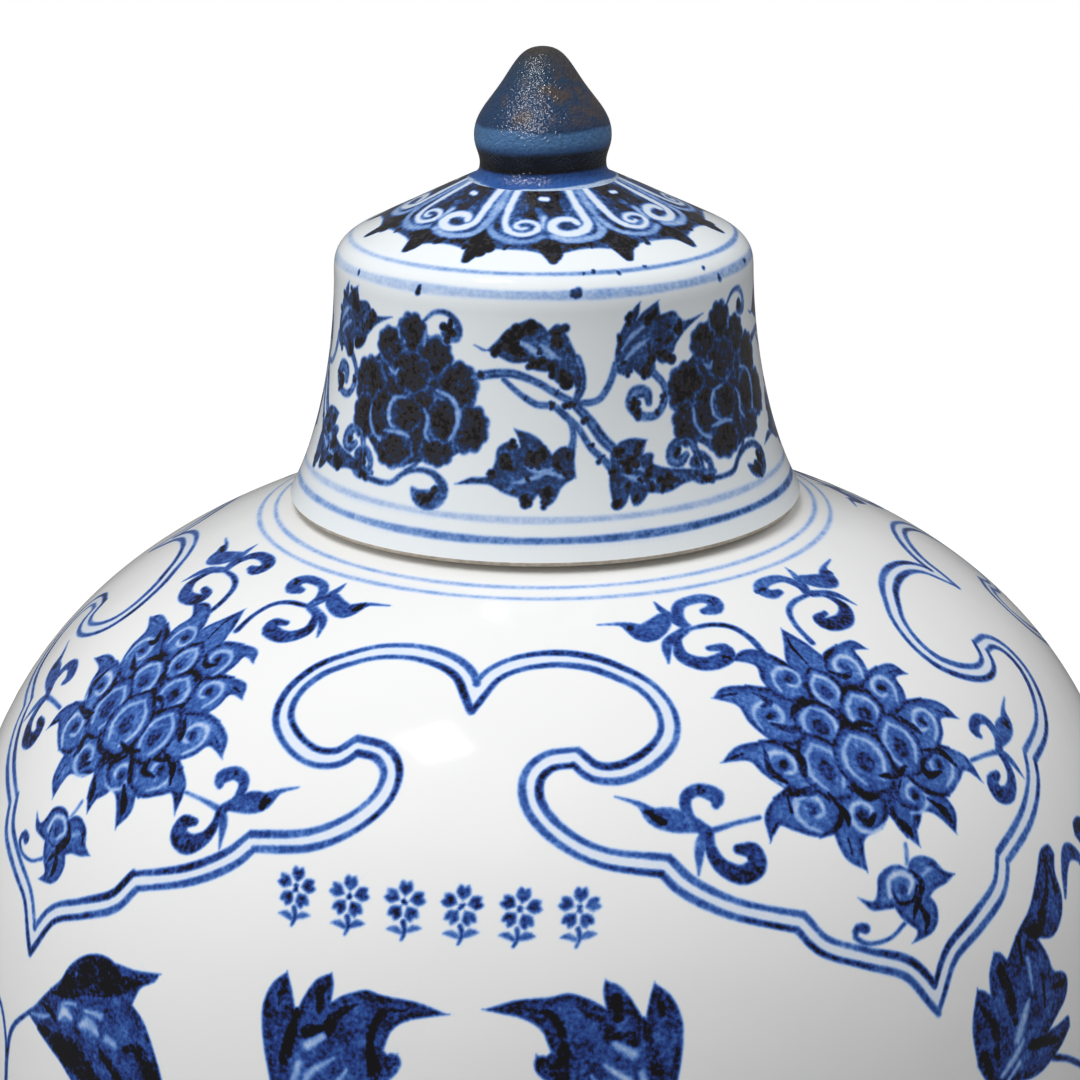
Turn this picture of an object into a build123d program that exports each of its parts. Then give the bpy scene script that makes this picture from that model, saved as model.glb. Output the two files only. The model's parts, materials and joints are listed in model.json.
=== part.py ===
"""Tall covered jar in blue and white porcelain: a wide-shouldered jar thrown in
sections and luted together, and a bell-shaped lid with a bud finial.

Millimetres, +Z up. The origin is the centre of the foot ring, on the face it stands on.
Every piece is a body of revolution about the Z axis. Outlines are drawn as
(radius, height), and each long curve is one cubic given by its four control points.
"""

import os

from build123d import *

# Jar: heights above the table and outside radii
SEAT_HEIGHT = 500.0  # outer edge of the lid's rim when the lid is on
GIRTH_RADIUS = 163.7  # widest part, below the shoulder
GIRTH_HEIGHT = 318.0
WAIST_RADIUS = 88.0  # narrowest part of the lower body
WAIST_HEIGHT = 42.0
FOOT_RADIUS = 91.5
NECK_ROOT_RADIUS = 40.0
NECK_ROOT_HEIGHT = SEAT_HEIGHT + 5.9

# How far the outline runs straight on from the girth, the waist and the neck root
GIRTH_REACH_UP = 95.5
GIRTH_REACH_DOWN = 115.0
WAIST_REACH_UP = 130.0
SHOULDER_CORNER_RADIUS = 161.6
SHOULDER_CORNER_HEIGHT = SEAT_HEIGHT - 24.9

# Where the thrown sections of the body are luted together
LOW_SEAM_HEIGHT = 190.0
HIGH_SEAM_HEIGHT = GIRTH_HEIGHT

# Body wall and foot
WALL_AT_WAIST = 11.0
WALL_AT_GIRTH = 7.0
WALL_AT_NECK = 6.0
FLOOR_TOP = 24.0  # inside floor of the jar
FLOOR_ROUND = 14.0
FLOOR_UNDERSIDE = 13.0  # recessed base inside the foot ring
FOOT_RING_WIDTH = 9.0
FOOT_BEVEL = 2.0
FOOT_RING_SLOPE = 3.5

# Neck
NECK_HEIGHT = 26.0
NECK_WAIST_RADIUS = 35.5
NECK_FOOT_STEP = 0.5
MOUTH_RADIUS = 29.5
MOUTH_BEVEL = 1.5
LIP_RADIUS = 39.5
LIP_HEIGHT = 7.0

# Lid: heights here are above the seat
RIM_RADIUS = 67.5
RIM_WIDTH = 4.6
RIM_ROUND = 1.2
RIM_DROP = 0.65  # the rim's inner edge is lower than its outer edge
LID_WALL = 5.0
LID_TOP_RADIUS = 54.4  # outside of the wall under the rounded edge
LID_EDGE_HEIGHT = 62.0
CONE_FOOT_RADIUS = 47.0  # where the rounded edge runs into the cone
CONE_FOOT_HEIGHT = 71.0
CONE_TOP_RADIUS = 19.6
CONE_TOP_HEIGHT = 84.0
CEILING_LAND_HEIGHT = 74.0  # flat underside that the locating tube is luted to
CEILING_LAND_RADIUS = 28.0
VENT_RADIUS = 2.5

# Locating tube inside the lid, which drops into the jar's mouth
TUBE_RADIUS = 25.0
TUBE_WALL = 4.5
TUBE_FLARE = 1.0
TUBE_FLARE_HEIGHT = 5.0
TUBE_END_HEIGHT = 13.0
TUBE_END_BEVEL = 1.2

# Bud finial, heights above the seat
FINIAL_WAIST_RADIUS = 16.3
FINIAL_WAIST_HEIGHT = 88.0
FINIAL_BELLY_RADIUS = 17.7
FINIAL_BELLY_HEIGHT = 95.0
FINIAL_TIP_HEIGHT = 117.5
FINIAL_WALL = 5.5
FINIAL_FOOT_RADIUS = CONE_TOP_RADIUS - 0.1


def turned(outline):
    """Solid of revolution of a closed outline drawn as (radius, height)."""
    return revolve(Plane.XZ * make_face(outline), Axis.Z)


def body_outside():
    """Outside of the jar: foot to waist, waist to girth, girth to the neck's root."""
    flare = Bezier(
        (FOOT_RADIUS, FOOT_BEVEL),
        (FOOT_RADIUS - 1.5, 14.0),
        (WAIST_RADIUS, WAIST_HEIGHT - 14.0),
        (WAIST_RADIUS, WAIST_HEIGHT),
    )
    lower = Bezier(
        (WAIST_RADIUS, WAIST_HEIGHT),
        (WAIST_RADIUS, WAIST_HEIGHT + WAIST_REACH_UP),
        (GIRTH_RADIUS, GIRTH_HEIGHT - GIRTH_REACH_DOWN),
        (GIRTH_RADIUS, GIRTH_HEIGHT),
    )
    shoulder = Bezier(
        (GIRTH_RADIUS, GIRTH_HEIGHT),
        (GIRTH_RADIUS, GIRTH_HEIGHT + GIRTH_REACH_UP),
        (SHOULDER_CORNER_RADIUS, SHOULDER_CORNER_HEIGHT),
        (NECK_ROOT_RADIUS, NECK_ROOT_HEIGHT),
    )
    return [flare, lower, shoulder]


def body_inside():
    """Inside of the jar from the mouth down to the floor, the wall thinning upwards."""
    inner_girth = GIRTH_RADIUS - WALL_AT_GIRTH
    inner_waist = WAIST_RADIUS - WALL_AT_WAIST
    shoulder = Bezier(
        (MOUTH_RADIUS + 1.0, NECK_ROOT_HEIGHT - WALL_AT_NECK + 1.5),
        (SHOULDER_CORNER_RADIUS - WALL_AT_GIRTH, SHOULDER_CORNER_HEIGHT - WALL_AT_GIRTH),
        (inner_girth, GIRTH_HEIGHT + GIRTH_REACH_UP - 3.0),
        (inner_girth, GIRTH_HEIGHT),
    )
    lower = Bezier(
        (inner_girth, GIRTH_HEIGHT),
        (inner_girth, GIRTH_HEIGHT - GIRTH_REACH_DOWN),
        (inner_waist, WAIST_HEIGHT + WAIST_REACH_UP),
        (inner_waist, WAIST_HEIGHT),
    )
    corner = Bezier(
        (inner_waist, WAIST_HEIGHT),
        (inner_waist, FLOOR_TOP),
        (inner_waist, FLOOR_TOP),
        (inner_waist - FLOOR_ROUND, FLOOR_TOP),
    )
    return [shoulder, lower, corner]


def body_wall():
    """Whole body wall, floor and foot ring, before it is parted at the seams."""
    ring_outside = FOOT_RADIUS - FOOT_BEVEL
    ring_inside = ring_outside - FOOT_RING_WIDTH
    mouth = Polyline(
        (NECK_ROOT_RADIUS, NECK_ROOT_HEIGHT),
        (MOUTH_RADIUS + 1.0, NECK_ROOT_HEIGHT),
        (MOUTH_RADIUS + 1.0, NECK_ROOT_HEIGHT - WALL_AT_NECK + 1.5),
    )
    foot = Polyline(
        (WAIST_RADIUS - WALL_AT_WAIST - FLOOR_ROUND, FLOOR_TOP),
        (0, FLOOR_TOP),
        (0, FLOOR_UNDERSIDE),
        (ring_inside - FOOT_RING_SLOPE, FLOOR_UNDERSIDE),
        (ring_inside - FOOT_BEVEL, FOOT_BEVEL),
        (ring_inside, 0),
        (ring_outside, 0),
        (FOOT_RADIUS, FOOT_BEVEL),
    )
    return turned([*body_outside(), mouth, *body_inside(), foot])


def body_sections():
    """The body parted at its two luting seams, from the foot up."""
    wall = body_wall()
    low_seam = Plane.XY.offset(LOW_SEAM_HEIGHT)
    high_seam = Plane.XY.offset(HIGH_SEAM_HEIGHT)
    base = split(wall, bisect_by=low_seam, keep=Keep.BOTTOM)
    upper = split(wall, bisect_by=low_seam, keep=Keep.TOP)
    belly = split(upper, bisect_by=high_seam, keep=Keep.BOTTOM)
    shoulder = split(upper, bisect_by=high_seam, keep=Keep.TOP)
    return base, belly, shoulder


def neck():
    """Short waisted neck with a rolled lip, standing on the shoulder."""
    foot = NECK_ROOT_HEIGHT
    top = foot + NECK_HEIGHT
    foot_radius = NECK_ROOT_RADIUS - NECK_FOOT_STEP
    outside = Bezier(
        (foot_radius, foot),
        (NECK_WAIST_RADIUS - 1.5, foot + 5.0),
        (NECK_WAIST_RADIUS - 1.5, top - LIP_HEIGHT - 5.0),
        (LIP_RADIUS - 1.5, top - LIP_HEIGHT),
    )
    lip = ThreePointArc(
        (LIP_RADIUS - 1.5, top - LIP_HEIGHT),
        (LIP_RADIUS, top - LIP_HEIGHT / 2),
        (LIP_RADIUS - 3.0, top),
    )
    bore = Polyline(
        (LIP_RADIUS - 3.0, top),
        (MOUTH_RADIUS + MOUTH_BEVEL, top),
        (MOUTH_RADIUS, top - MOUTH_BEVEL),
        (MOUTH_RADIUS, foot + 4.0),
        (MOUTH_RADIUS + 1.0, foot),
        (foot_radius, foot),
    )
    return turned([outside, lip, bore])


def lid_bell():
    """Flared wall, rounded edge and low cone of the lid, with a vent under the finial."""
    rim_inside = (RIM_RADIUS - RIM_WIDTH, SEAT_HEIGHT - RIM_DROP)
    rim_outside = (RIM_RADIUS - RIM_ROUND, SEAT_HEIGHT)
    rim_top = (RIM_RADIUS, SEAT_HEIGHT + RIM_ROUND)
    wall_top = (LID_TOP_RADIUS, SEAT_HEIGHT + LID_EDGE_HEIGHT)
    cone_foot = (CONE_FOOT_RADIUS, SEAT_HEIGHT + CONE_FOOT_HEIGHT)
    cone_top = (CONE_TOP_RADIUS, SEAT_HEIGHT + CONE_TOP_HEIGHT)
    land = SEAT_HEIGHT + CEILING_LAND_HEIGHT
    rim_round = Bezier(rim_outside, (RIM_RADIUS, SEAT_HEIGHT), rim_top)
    wall = Bezier(rim_top, (60.5, SEAT_HEIGHT + 14.0), (LID_TOP_RADIUS + 0.4, SEAT_HEIGHT + 36.0), wall_top)
    edge = Bezier(wall_top, (54.2, SEAT_HEIGHT + 66.6), (51.5, SEAT_HEIGHT + 68.9), cone_foot)
    cone = Bezier(cone_foot, (38.0, SEAT_HEIGHT + 75.3), (27.0, SEAT_HEIGHT + 80.6), cone_top)
    top = Polyline(cone_top, (VENT_RADIUS, cone_top[1]), (VENT_RADIUS, land), (CEILING_LAND_RADIUS, land))
    ceiling = Bezier(
        (CEILING_LAND_RADIUS, land),
        (44.0, SEAT_HEIGHT + 67.5),
        (LID_TOP_RADIUS - LID_WALL, SEAT_HEIGHT + 66.0),
        (LID_TOP_RADIUS - LID_WALL, SEAT_HEIGHT + 56.0),
    )
    inside = Bezier(
        (LID_TOP_RADIUS - LID_WALL, SEAT_HEIGHT + 56.0),
        (LID_TOP_RADIUS - LID_WALL + 0.6, SEAT_HEIGHT + 32.0),
        (60.5 - LID_WALL, SEAT_HEIGHT + 13.0),
        rim_inside,
    )
    return turned([rim_round, wall, edge, cone, top, ceiling, inside, Line(rim_inside, rim_outside)])


def lid_locating_tube():
    """Open tube under the lid's ceiling that keeps the lid centred in the mouth."""
    top = SEAT_HEIGHT + CEILING_LAND_HEIGHT
    end = SEAT_HEIGHT + TUBE_END_HEIGHT
    inner = TUBE_RADIUS - TUBE_WALL
    outline = Polyline(
        (inner, top),
        (TUBE_RADIUS + TUBE_FLARE, top),
        (TUBE_RADIUS, top - TUBE_FLARE_HEIGHT),
        (TUBE_RADIUS, end + TUBE_END_BEVEL),
        (TUBE_RADIUS - TUBE_END_BEVEL, end),
        (inner + TUBE_END_BEVEL, end),
        (inner, end + TUBE_END_BEVEL),
        (inner, top),
    )
    return turned(outline)


def lid_finial():
    """Hollow bud-shaped finial with a waisted foot."""
    foot = (FINIAL_FOOT_RADIUS, SEAT_HEIGHT + CONE_TOP_HEIGHT)
    waist = (FINIAL_WAIST_RADIUS, SEAT_HEIGHT + FINIAL_WAIST_HEIGHT)
    belly = (FINIAL_BELLY_RADIUS, SEAT_HEIGHT + FINIAL_BELLY_HEIGHT)
    tip_height = SEAT_HEIGHT + FINIAL_TIP_HEIGHT
    flank = (10.2, tip_height - 8.6)
    flare = Bezier(foot, (17.0, foot[1] + 1.1), (FINIAL_WAIST_RADIUS, waist[1] - 2.2), waist)
    swell = Bezier(waist, (FINIAL_WAIST_RADIUS, waist[1] + 2.6), (FINIAL_BELLY_RADIUS, belly[1] - 3.2), belly)
    side = Bezier(belly, (FINIAL_BELLY_RADIUS, belly[1] + 5.4), (13.8, flank[1] - 5.4), flank)
    tip = Bezier(flank, (6.6, flank[1] + 5.4), (5.2, tip_height), (0, tip_height))
    hollow_foot = (FINIAL_WAIST_RADIUS - FINIAL_WALL, foot[1])
    hollow_top = (0, tip_height - 12.0)
    hollow = Bezier(hollow_top, (13.0, hollow_top[1]), (FINIAL_BELLY_RADIUS - FINIAL_WALL, belly[1]), hollow_foot)
    axis = Line((0, tip_height), hollow_top)
    return turned([flare, swell, side, tip, axis, hollow, Line(hollow_foot, foot)])


def write_parts():
    """One STEP file for each piece."""
    base, belly, shoulder = body_sections()
    parts = {
        "base_section": base,
        "belly_section": belly,
        "shoulder_section": shoulder,
        "neck": neck(),
        "lid_bell": lid_bell(),
        "lid_locating_tube": lid_locating_tube(),
        "lid_finial": lid_finial(),
    }
    os.makedirs("parts", exist_ok=True)
    for name, part in parts.items():
        export_step(part, f"parts/{name}.step")


write_parts()
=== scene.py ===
"""Looks for the tall blue and white covered jar.

Every piece is rebuilt from the outline of its CAD node as a fine turned mesh. The
decoration is painted in numpy on a grid of angle and arc length, in millimetres, and each
mesh carries the ink as a vertex attribute that its glaze material reads.
"""

import json
import math

import bpy
import numpy as np
from mathutils import Matrix, Vector

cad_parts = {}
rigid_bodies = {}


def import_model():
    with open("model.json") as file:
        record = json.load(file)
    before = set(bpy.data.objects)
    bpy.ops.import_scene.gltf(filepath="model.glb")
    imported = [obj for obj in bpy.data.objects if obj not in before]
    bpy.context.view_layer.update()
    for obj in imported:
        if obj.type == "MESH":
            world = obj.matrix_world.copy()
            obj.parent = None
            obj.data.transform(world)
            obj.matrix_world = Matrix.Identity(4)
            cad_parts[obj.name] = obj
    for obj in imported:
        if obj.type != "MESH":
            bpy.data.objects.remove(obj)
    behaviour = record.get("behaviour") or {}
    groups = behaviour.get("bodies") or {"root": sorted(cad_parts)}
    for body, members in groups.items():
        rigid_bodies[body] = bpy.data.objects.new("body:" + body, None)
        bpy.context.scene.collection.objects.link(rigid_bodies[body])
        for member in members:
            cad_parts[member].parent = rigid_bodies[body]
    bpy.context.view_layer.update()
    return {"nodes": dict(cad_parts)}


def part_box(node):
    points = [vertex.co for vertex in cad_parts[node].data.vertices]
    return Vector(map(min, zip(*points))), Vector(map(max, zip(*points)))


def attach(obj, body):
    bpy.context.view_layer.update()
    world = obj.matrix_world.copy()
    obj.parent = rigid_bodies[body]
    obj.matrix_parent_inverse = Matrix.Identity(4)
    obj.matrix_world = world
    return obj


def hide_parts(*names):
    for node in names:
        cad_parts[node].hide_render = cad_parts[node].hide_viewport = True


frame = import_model()

TURN = 2 * math.pi
MM = 0.001
RANDOM = np.random.default_rng(7)
SEAT_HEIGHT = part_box("lid_bell")[0][2] / MM  # of the lid's rim, in mm


# --- Outlines taken from the CAD nodes ------------------------------------------------

CORNER_ANGLE = 24.0  # degrees; a sharper turn of the outline than this is an edge
SOFT_CORNER_ANGLE = 12.0  # the same for a node whose faces meet at blunt angles
BLUNT_NODES = ("shoulder_section",)
SEAM_TOLERANCE = 1e-3  # mm
TINY = 1e-9  # keeps a division by nothing from failing


def seam_links(node):
    """The points of the node's seam, (radius, height) in mm, each with the points next to it."""
    mesh = frame["nodes"][node].data
    places = np.empty(len(mesh.vertices) * 3)
    mesh.vertices.foreach_get("co", places)
    places = places.reshape(-1, 3) / MM
    edges = np.empty(len(mesh.edges) * 2, int)
    mesh.edges.foreach_get("vertices", edges)
    edges = edges.reshape(-1, 2)
    on_seam = (np.abs(places[:, 1]) < SEAM_TOLERANCE) & (places[:, 0] > -SEAM_TOLERANCE)
    points = [tuple(point) for point in np.round(places[:, [0, 2]], 2) + 0.0]
    links = {}
    for a, b in edges[on_seam[edges].all(axis=1)]:
        if points[a] != points[b] and max(points[a][0], points[b][0]) > 0:
            links.setdefault(points[a], set()).add(points[b])
            links.setdefault(points[b], set()).add(points[a])
    return links


def node_profile(node):
    """The node's outline as points in order along its seam, and whether it is a closed loop."""
    links = seam_links(node)
    ends = [point for point, near in links.items() if len(near) == 1]
    start = max(ends or links, key=lambda point: (point[1], point[0]))
    chain = [start]
    while True:
        ahead = [point for point in links[chain[-1]] if point not in chain[-2:]]
        if not ahead or ahead[0] == start:
            break
        chain.append(ahead[0])
    if ends:
        chain = [(0.0, chain[0][1]), *chain, (0.0, chain[-1][1])]
        chain = [point for k, point in enumerate(chain) if k == 0 or point != chain[k - 1]]
    return np.array(chain), not ends


def split_runs(points, closed, corner_angle):
    """Cuts an outline at its sharp corners into smooth runs, each an array of points."""
    steps = np.diff(np.vstack([points, points[0]]), axis=0)
    steps /= np.linalg.norm(steps, axis=1)[:, None] + TINY
    turning = (np.roll(steps, 1, axis=0) * steps).sum(axis=1)
    corners = np.flatnonzero(turning < math.cos(math.radians(corner_angle)))
    if closed:
        points = np.vstack([np.roll(points, -corners[0], axis=0), points[corners[0]]])
        marks = [*(corners - corners[0]), len(points) - 1]
    else:
        inner = corners[(corners > 0) & (corners < len(points) - 1)]
        marks = [0, *inner, len(points) - 1]
    return [points[a : b + 1] for a, b in zip(marks[:-1], marks[1:])]


def hermite(t, start, leaving, end, arriving):
    """The cubic from start to end that leaves and arrives at the given slopes."""
    return (
        (2 * t**3 - 3 * t**2 + 1) * start
        + (t**3 - 2 * t**2 + t) * leaving
        + (3 * t**2 - 2 * t**3) * end
        + (t**3 - t**2) * arriving
    )


class Run:
    """One smooth stretch of an outline, read by its arc length in mm."""

    def __init__(self, points):
        self.points = points
        self.knots = np.r_[0, np.cumsum(np.hypot(*np.diff(points, axis=0).T))]
        self.length = self.knots[-1]
        if len(points) > 2:
            self.slopes = np.gradient(points, self.knots, axis=0, edge_order=2)
        else:
            self.slopes = np.repeat([(points[1] - points[0]) / self.length], 2, axis=0)

    def at(self, along):
        """Points and outward normals at arc lengths, kept inside the outline's own box."""
        along = np.clip(along, 0, self.length)
        knot = np.searchsorted(self.knots, along, side="right") - 1
        knot = np.clip(knot, 0, len(self.knots) - 2)
        gap = (self.knots[knot + 1] - self.knots[knot])[:, None]
        t = (along - self.knots[knot])[:, None] / gap
        start, end = self.points[knot], self.points[knot + 1]
        leaving, arriving = self.slopes[knot] * gap, self.slopes[knot + 1] * gap
        places = hermite(t, start, leaving, end, arriving)
        slopes = (
            (6 * t**2 - 6 * t) * (start - end) / gap
            + (3 * t**2 - 4 * t + 1) * leaving / gap
            + (3 * t**2 - 2 * t) * arriving / gap
        )
        slopes /= np.linalg.norm(slopes, axis=1)[:, None]
        normals = np.stack([slopes[:, 1], -slopes[:, 0]], axis=1)
        return np.clip(places, self.points.min(axis=0), self.points.max(axis=0)), normals


def outline_runs(node):
    """The runs of a node's outline, anticlockwise, so that its normals point outwards."""
    points, closed = node_profile(node)
    loop = np.vstack([points, points[0]])
    area = np.sum(loop[:-1, 0] * loop[1:, 1] - loop[1:, 0] * loop[:-1, 1])
    if area < 0:
        points = points[::-1]
    corner_angle = SOFT_CORNER_ANGLE if node in BLUNT_NODES else CORNER_ANGLE
    return [Run(run) for run in split_runs(points, closed, corner_angle)]


# --- Painting: ink laid on sheets of angle and arc length -----------------------------

BLOCK = 16  # cells along the side of the largest face a sheet is divided into
SOFT_EDGE = 0.6  # mm, how far the glaze lets the edge of a stroke run
BRUSH_STEP = 0.8  # mm between the samples of a stroke
CHUNK = 10  # samples of a stroke that are laid at once
WAVER = 0.09  # share by which the width of a stroke wavers
WAVER_LENGTH = 9 / 1.7  # samples of a stroke for a radian of its waver
LOAD_CHANGE = 0.05  # share by which the tone differs from stroke to stroke
NOWHERE = 1e9  # mm, farther than any cell is from an outline


def smooth_curve(points):
    """A smooth curve through points of any number of channels, as a dense array."""
    points = np.array(points, float)
    if len(points) < 3:
        count = max(2, int(np.hypot(*(points[1] - points[0])[:2]) / BRUSH_STEP))
        return np.linspace(points[0], points[-1], count + 1)
    padded = np.vstack([2 * points[0] - points[1], points, 2 * points[-1] - points[-2]])
    pieces = []
    for before, start, end, after in zip(padded, padded[1:], padded[2:], padded[3:]):
        count = max(2, int(np.hypot(*(end - start)[:2]) / BRUSH_STEP))
        t = np.linspace(0, 1, count, endpoint=False)[:, None]
        pieces.append(hermite(t, start, (end - before) / 2, end, (after - start) / 2))
    return np.concatenate([*pieces, points[-1:]])


def soft_step(distance):
    """1 well inside an edge and 0 well outside it, where distance is mm outside."""
    t = np.clip(0.5 - distance / (2 * SOFT_EDGE), 0, 1)
    return t * t * (3 - 2 * t)


class Sheet:
    """The painted run of one piece: ink on a grid of angle and arc length."""

    def __init__(self, run, columns, cell, start, direction):
        self.run = run
        self.columns = columns
        self.rows = math.ceil(run.length / cell / BLOCK) * BLOCK
        self.along = np.linspace(0, run.length, self.rows + 1)
        self.level = start + direction * self.along
        self.radius = run.at(self.along)[0][:, 0]
        self.ink = np.zeros((self.rows + 1, columns))

    def window(self, low, high, margin):
        """Row and column numbers of the cells within margin mm of a box of (angle, level)."""
        rows = np.flatnonzero((self.level > low[1] - margin) & (self.level < high[1] + margin))
        if not len(rows):
            return rows, rows
        spread = margin / max(self.radius[rows].min(), 1.0)
        first = math.floor((low[0] - spread) * self.columns / TURN)
        last = math.ceil((high[0] + spread) * self.columns / TURN)
        return rows, np.arange(first, last + 1)

    def blend(self, rows, columns, cover, tone, over):
        """Lays a tone over the cells: as more ink, or replacing what is there."""
        cells = np.ix_(rows, columns % self.columns)
        old = self.ink[cells]
        if over:
            self.ink[cells] = old + (tone - old) * cover
        else:
            self.ink[cells] = np.maximum(old, tone * cover)


class Spot:
    """Where a motif is drawn: an angle in degrees, and a centre in mm from there.

    A mirrored spot draws everything, its turn included, the other way round. A spot made
    with another one's within() is placed in that one's own mm.
    """

    def __init__(self, angle, x=0.0, s=0.0, turn=0.0, size=1.0, mirror=False):
        self.angle = math.radians(angle)
        self.size = size
        side = -1 if mirror else 1
        cosine, sine = math.cos(math.radians(turn)), math.sin(math.radians(turn))
        self.matrix = size * np.array([[side * cosine, -side * sine], [sine, cosine]])
        self.shift = np.array([x, s], float)

    def within(self, x, s, turn=0.0, size=1.0, mirror=False):
        inner = Spot(0, x, s, turn, size, mirror)
        inner.angle = self.angle
        inner.size *= self.size
        inner.shift = self.matrix @ inner.shift + self.shift
        inner.matrix = self.matrix @ inner.matrix
        return inner

    def place(self, points):
        """Points of the motif as mm to the right of the angle, and level."""
        return (points[:, :2] @ self.matrix.T + self.shift).T


class Surface:
    """One or more sheets painted together, in shared levels."""

    def __init__(self, *sheets):
        self.sheets = sheets
        levels = np.concatenate([sheet.level for sheet in sheets])
        order = np.argsort(levels)
        self.levels = levels[order]
        self.radii = np.concatenate([sheet.radius for sheet in sheets])[order]

    def spread(self, spot, points):
        """Points of a motif as (angle, level)."""
        x, level = spot.place(points)
        radius = np.interp(level, self.levels, self.radii)
        return np.stack([spot.angle + x / radius, level], axis=1)

    def stroke(self, spot, points, width=1.3, tone=0.7, over=False):
        """A brush stroke; width is one number, or several spread along it."""
        points = np.array(points, float)
        width = np.atleast_1d(width)
        places = np.linspace(0, len(width) - 1, len(points))
        widths = np.interp(places, np.arange(len(width)), width)
        curve = smooth_curve(np.column_stack([points, widths]))
        curve, widths = curve[:, :2], np.maximum(curve[:, 2], 0.1)
        shake = RANDOM.normal(0, 1, 3)
        phase = np.linspace(0, len(curve) / WAVER_LENGTH, len(curve))
        widths = widths * (1 + WAVER * np.sin(phase + 3 * shake[0]))
        tone = tone * (1 + LOAD_CHANGE * shake[1])
        self.trace(self.spread(spot, curve), widths * spot.size, tone, over)

    def trace(self, path, widths, tone, over=False):
        """A stroke along a dense path of (angle, level)."""
        for first in range(0, len(path) - 1, CHUNK):
            part = slice(first, first + CHUNK + 1)
            self.lay(path[part], widths[part] / 2, tone, over)

    def lay(self, path, halves, tone, over):
        """A short piece of a stroke, laid on every sheet it meets."""
        reach = halves.max() + SOFT_EDGE
        for sheet in self.sheets:
            rows, columns = sheet.window(path.min(axis=0), path.max(axis=0), reach)
            if not len(rows):
                continue
            radius = sheet.radius[rows][None, :, None]
            angle = columns[None, None, :] * TURN / sheet.columns
            start, end = path[:-1, :, None, None], path[1:, :, None, None]
            run_x = (end[:, 0] - start[:, 0]) * radius
            run_y = end[:, 1] - start[:, 1]
            to_x = (angle - start[:, 0]) * radius
            to_y = sheet.level[rows][None, :, None] - start[:, 1]
            t = (to_x * run_x + to_y * run_y) / (run_x**2 + run_y**2 + TINY)
            t = np.clip(t, 0, 1)
            half = halves[:-1, None, None] * (1 - t) + halves[1:, None, None] * t
            gap = np.hypot(to_x - t * run_x, to_y - t * run_y) - half
            sheet.blend(rows, columns, soft_step(gap.min(axis=0)), tone, over)

    def fill(self, spot, curves, tone=0.6, rim=None, rim_width=1.2, over=False):
        """A filled shape whose outline is smooth curves that meet at corners."""
        outline = np.concatenate([smooth_curve(curve)[:-1] for curve in closed_chain(curves)])
        path = self.spread(spot, outline)
        rim = tone if rim is None else rim
        for sheet in self.sheets:
            rows, columns = sheet.window(path.min(axis=0), path.max(axis=0), SOFT_EDGE)
            if not len(rows):
                continue
            gap = outline_gap(sheet, rows, columns, path)
            shade = tone + (rim - tone) * np.exp(-((np.minimum(gap, 0) / rim_width) ** 2))
            sheet.blend(rows, columns, soft_step(gap), shade, over)


def closed_chain(curves):
    """The curves with each one carried on to where the next one starts."""
    return [[*curve, after[0]] for curve, after in zip(curves, [*curves[1:], curves[0]])]


def outline_gap(sheet, rows, columns, path):
    """Distance in mm of each cell outside a closed outline, negative inside it."""
    radius = sheet.radius[rows][:, None]
    angle = columns[None, :] * TURN / sheet.columns
    level = sheet.level[rows][:, None]
    nearest = np.full((len(rows), len(columns)), NOWHERE)
    inside = np.zeros(nearest.shape, bool)
    for start, end in zip(path, np.roll(path, -1, axis=0)):
        run_x = (end[0] - start[0]) * radius
        run_y = end[1] - start[1]
        to_x = (angle - start[0]) * radius
        to_y = level - start[1]
        t = np.clip((to_x * run_x + to_y * run_y) / (run_x**2 + run_y**2 + TINY), 0, 1)
        nearest = np.minimum(nearest, (to_x - t * run_x) ** 2 + (to_y - t * run_y) ** 2)
        if run_y:
            crosses = (level >= start[1]) != (level >= end[1])
            inside ^= crosses & (to_x < run_x * to_y / run_y)
    return np.where(inside, -1, 1) * np.sqrt(nearest)


# --- Decoration of the body -----------------------------------------------------------

PALE, WASH, BLUE, DEEP, BLACK = 0.2, 0.45, 0.62, 0.82, 1.0  # tones of ink

HEAD_ANGLES = [-9.5 + 90 * k for k in range(4)]  # degrees, where the collar dips to its necks
LAPPET_ANGLES = [35.5 + 90 * k for k in range(4)]
NECK_RINGS = (33.0, 37.5)  # mm below the neck root
RING_ARC = 5  # degrees of a ring that are laid with one load of the brush
RING_SWAY = 0.15  # mm that a ring strays from its level
RING_WAVER = 0.12  # share by which its width wavers
# Where a ring's extra tone is heaviest: the right front, away from the lamps, as painted shade.
RING_SHADE_PHASE = 0.7  # radians

# Half a repeat of the collar from the middle of a head to the tip of a lappet, as smooth
# curves of (degrees, level) that meet at its cusps.
COLLAR = (
    ((0, 71), (2, 64), (5.5, 60), (10.5, 58.5), (15.5, 60), (19.5, 64), (22.5, 69), (24, 76),
     (23.5, 83), (21, 88.5), (17.5, 92), (14.5, 91.5), (12.5, 87.5)),
    ((12.5, 87.5), (9.5, 88.5), (7.7, 93), (8, 100), (10.5, 107), (14.5, 112.5), (20.5, 115.5)),
    ((20.5, 115.5), (22.5, 121), (26.5, 127), (32.5, 132.5)),
    ((32.5, 132.5), (34.5, 139), (38.5, 144), (42.5, 149), (45, 158)),
)
COLLAR_GAP = 3.8  # mm between the two lines of the collar
COLLAR_LINE = 1.7  # mm, width of each line
COLLAR_WASH = 0.07  # tone of the thin wash between the lines
COLLAR_DIP = 5  # samples of a line that are laid with one load of the brush
COLLAR_LOAD = 0.24  # extra tone where the brush was full
COLLAR_LOAD_WAVE = 11  # mm of line for a radian of the change of load
GAP_WAVER, GAP_WAVE = 0.06, 9  # share by which the gap wavers, mm for a radian of it
LINE_WAVER, LINE_WAVE = 0.18, 7  # the same for the width of a line
CUSP_REACH = 6.0  # mm of line that bends to meet at a cusp
SHARPEST_CUSP = 0.45  # how far a cusp may stick out, as the cosine it is cut at
MM_PER_DEGREE = 2.3  # of turn at the collar, near enough to space its samples


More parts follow.
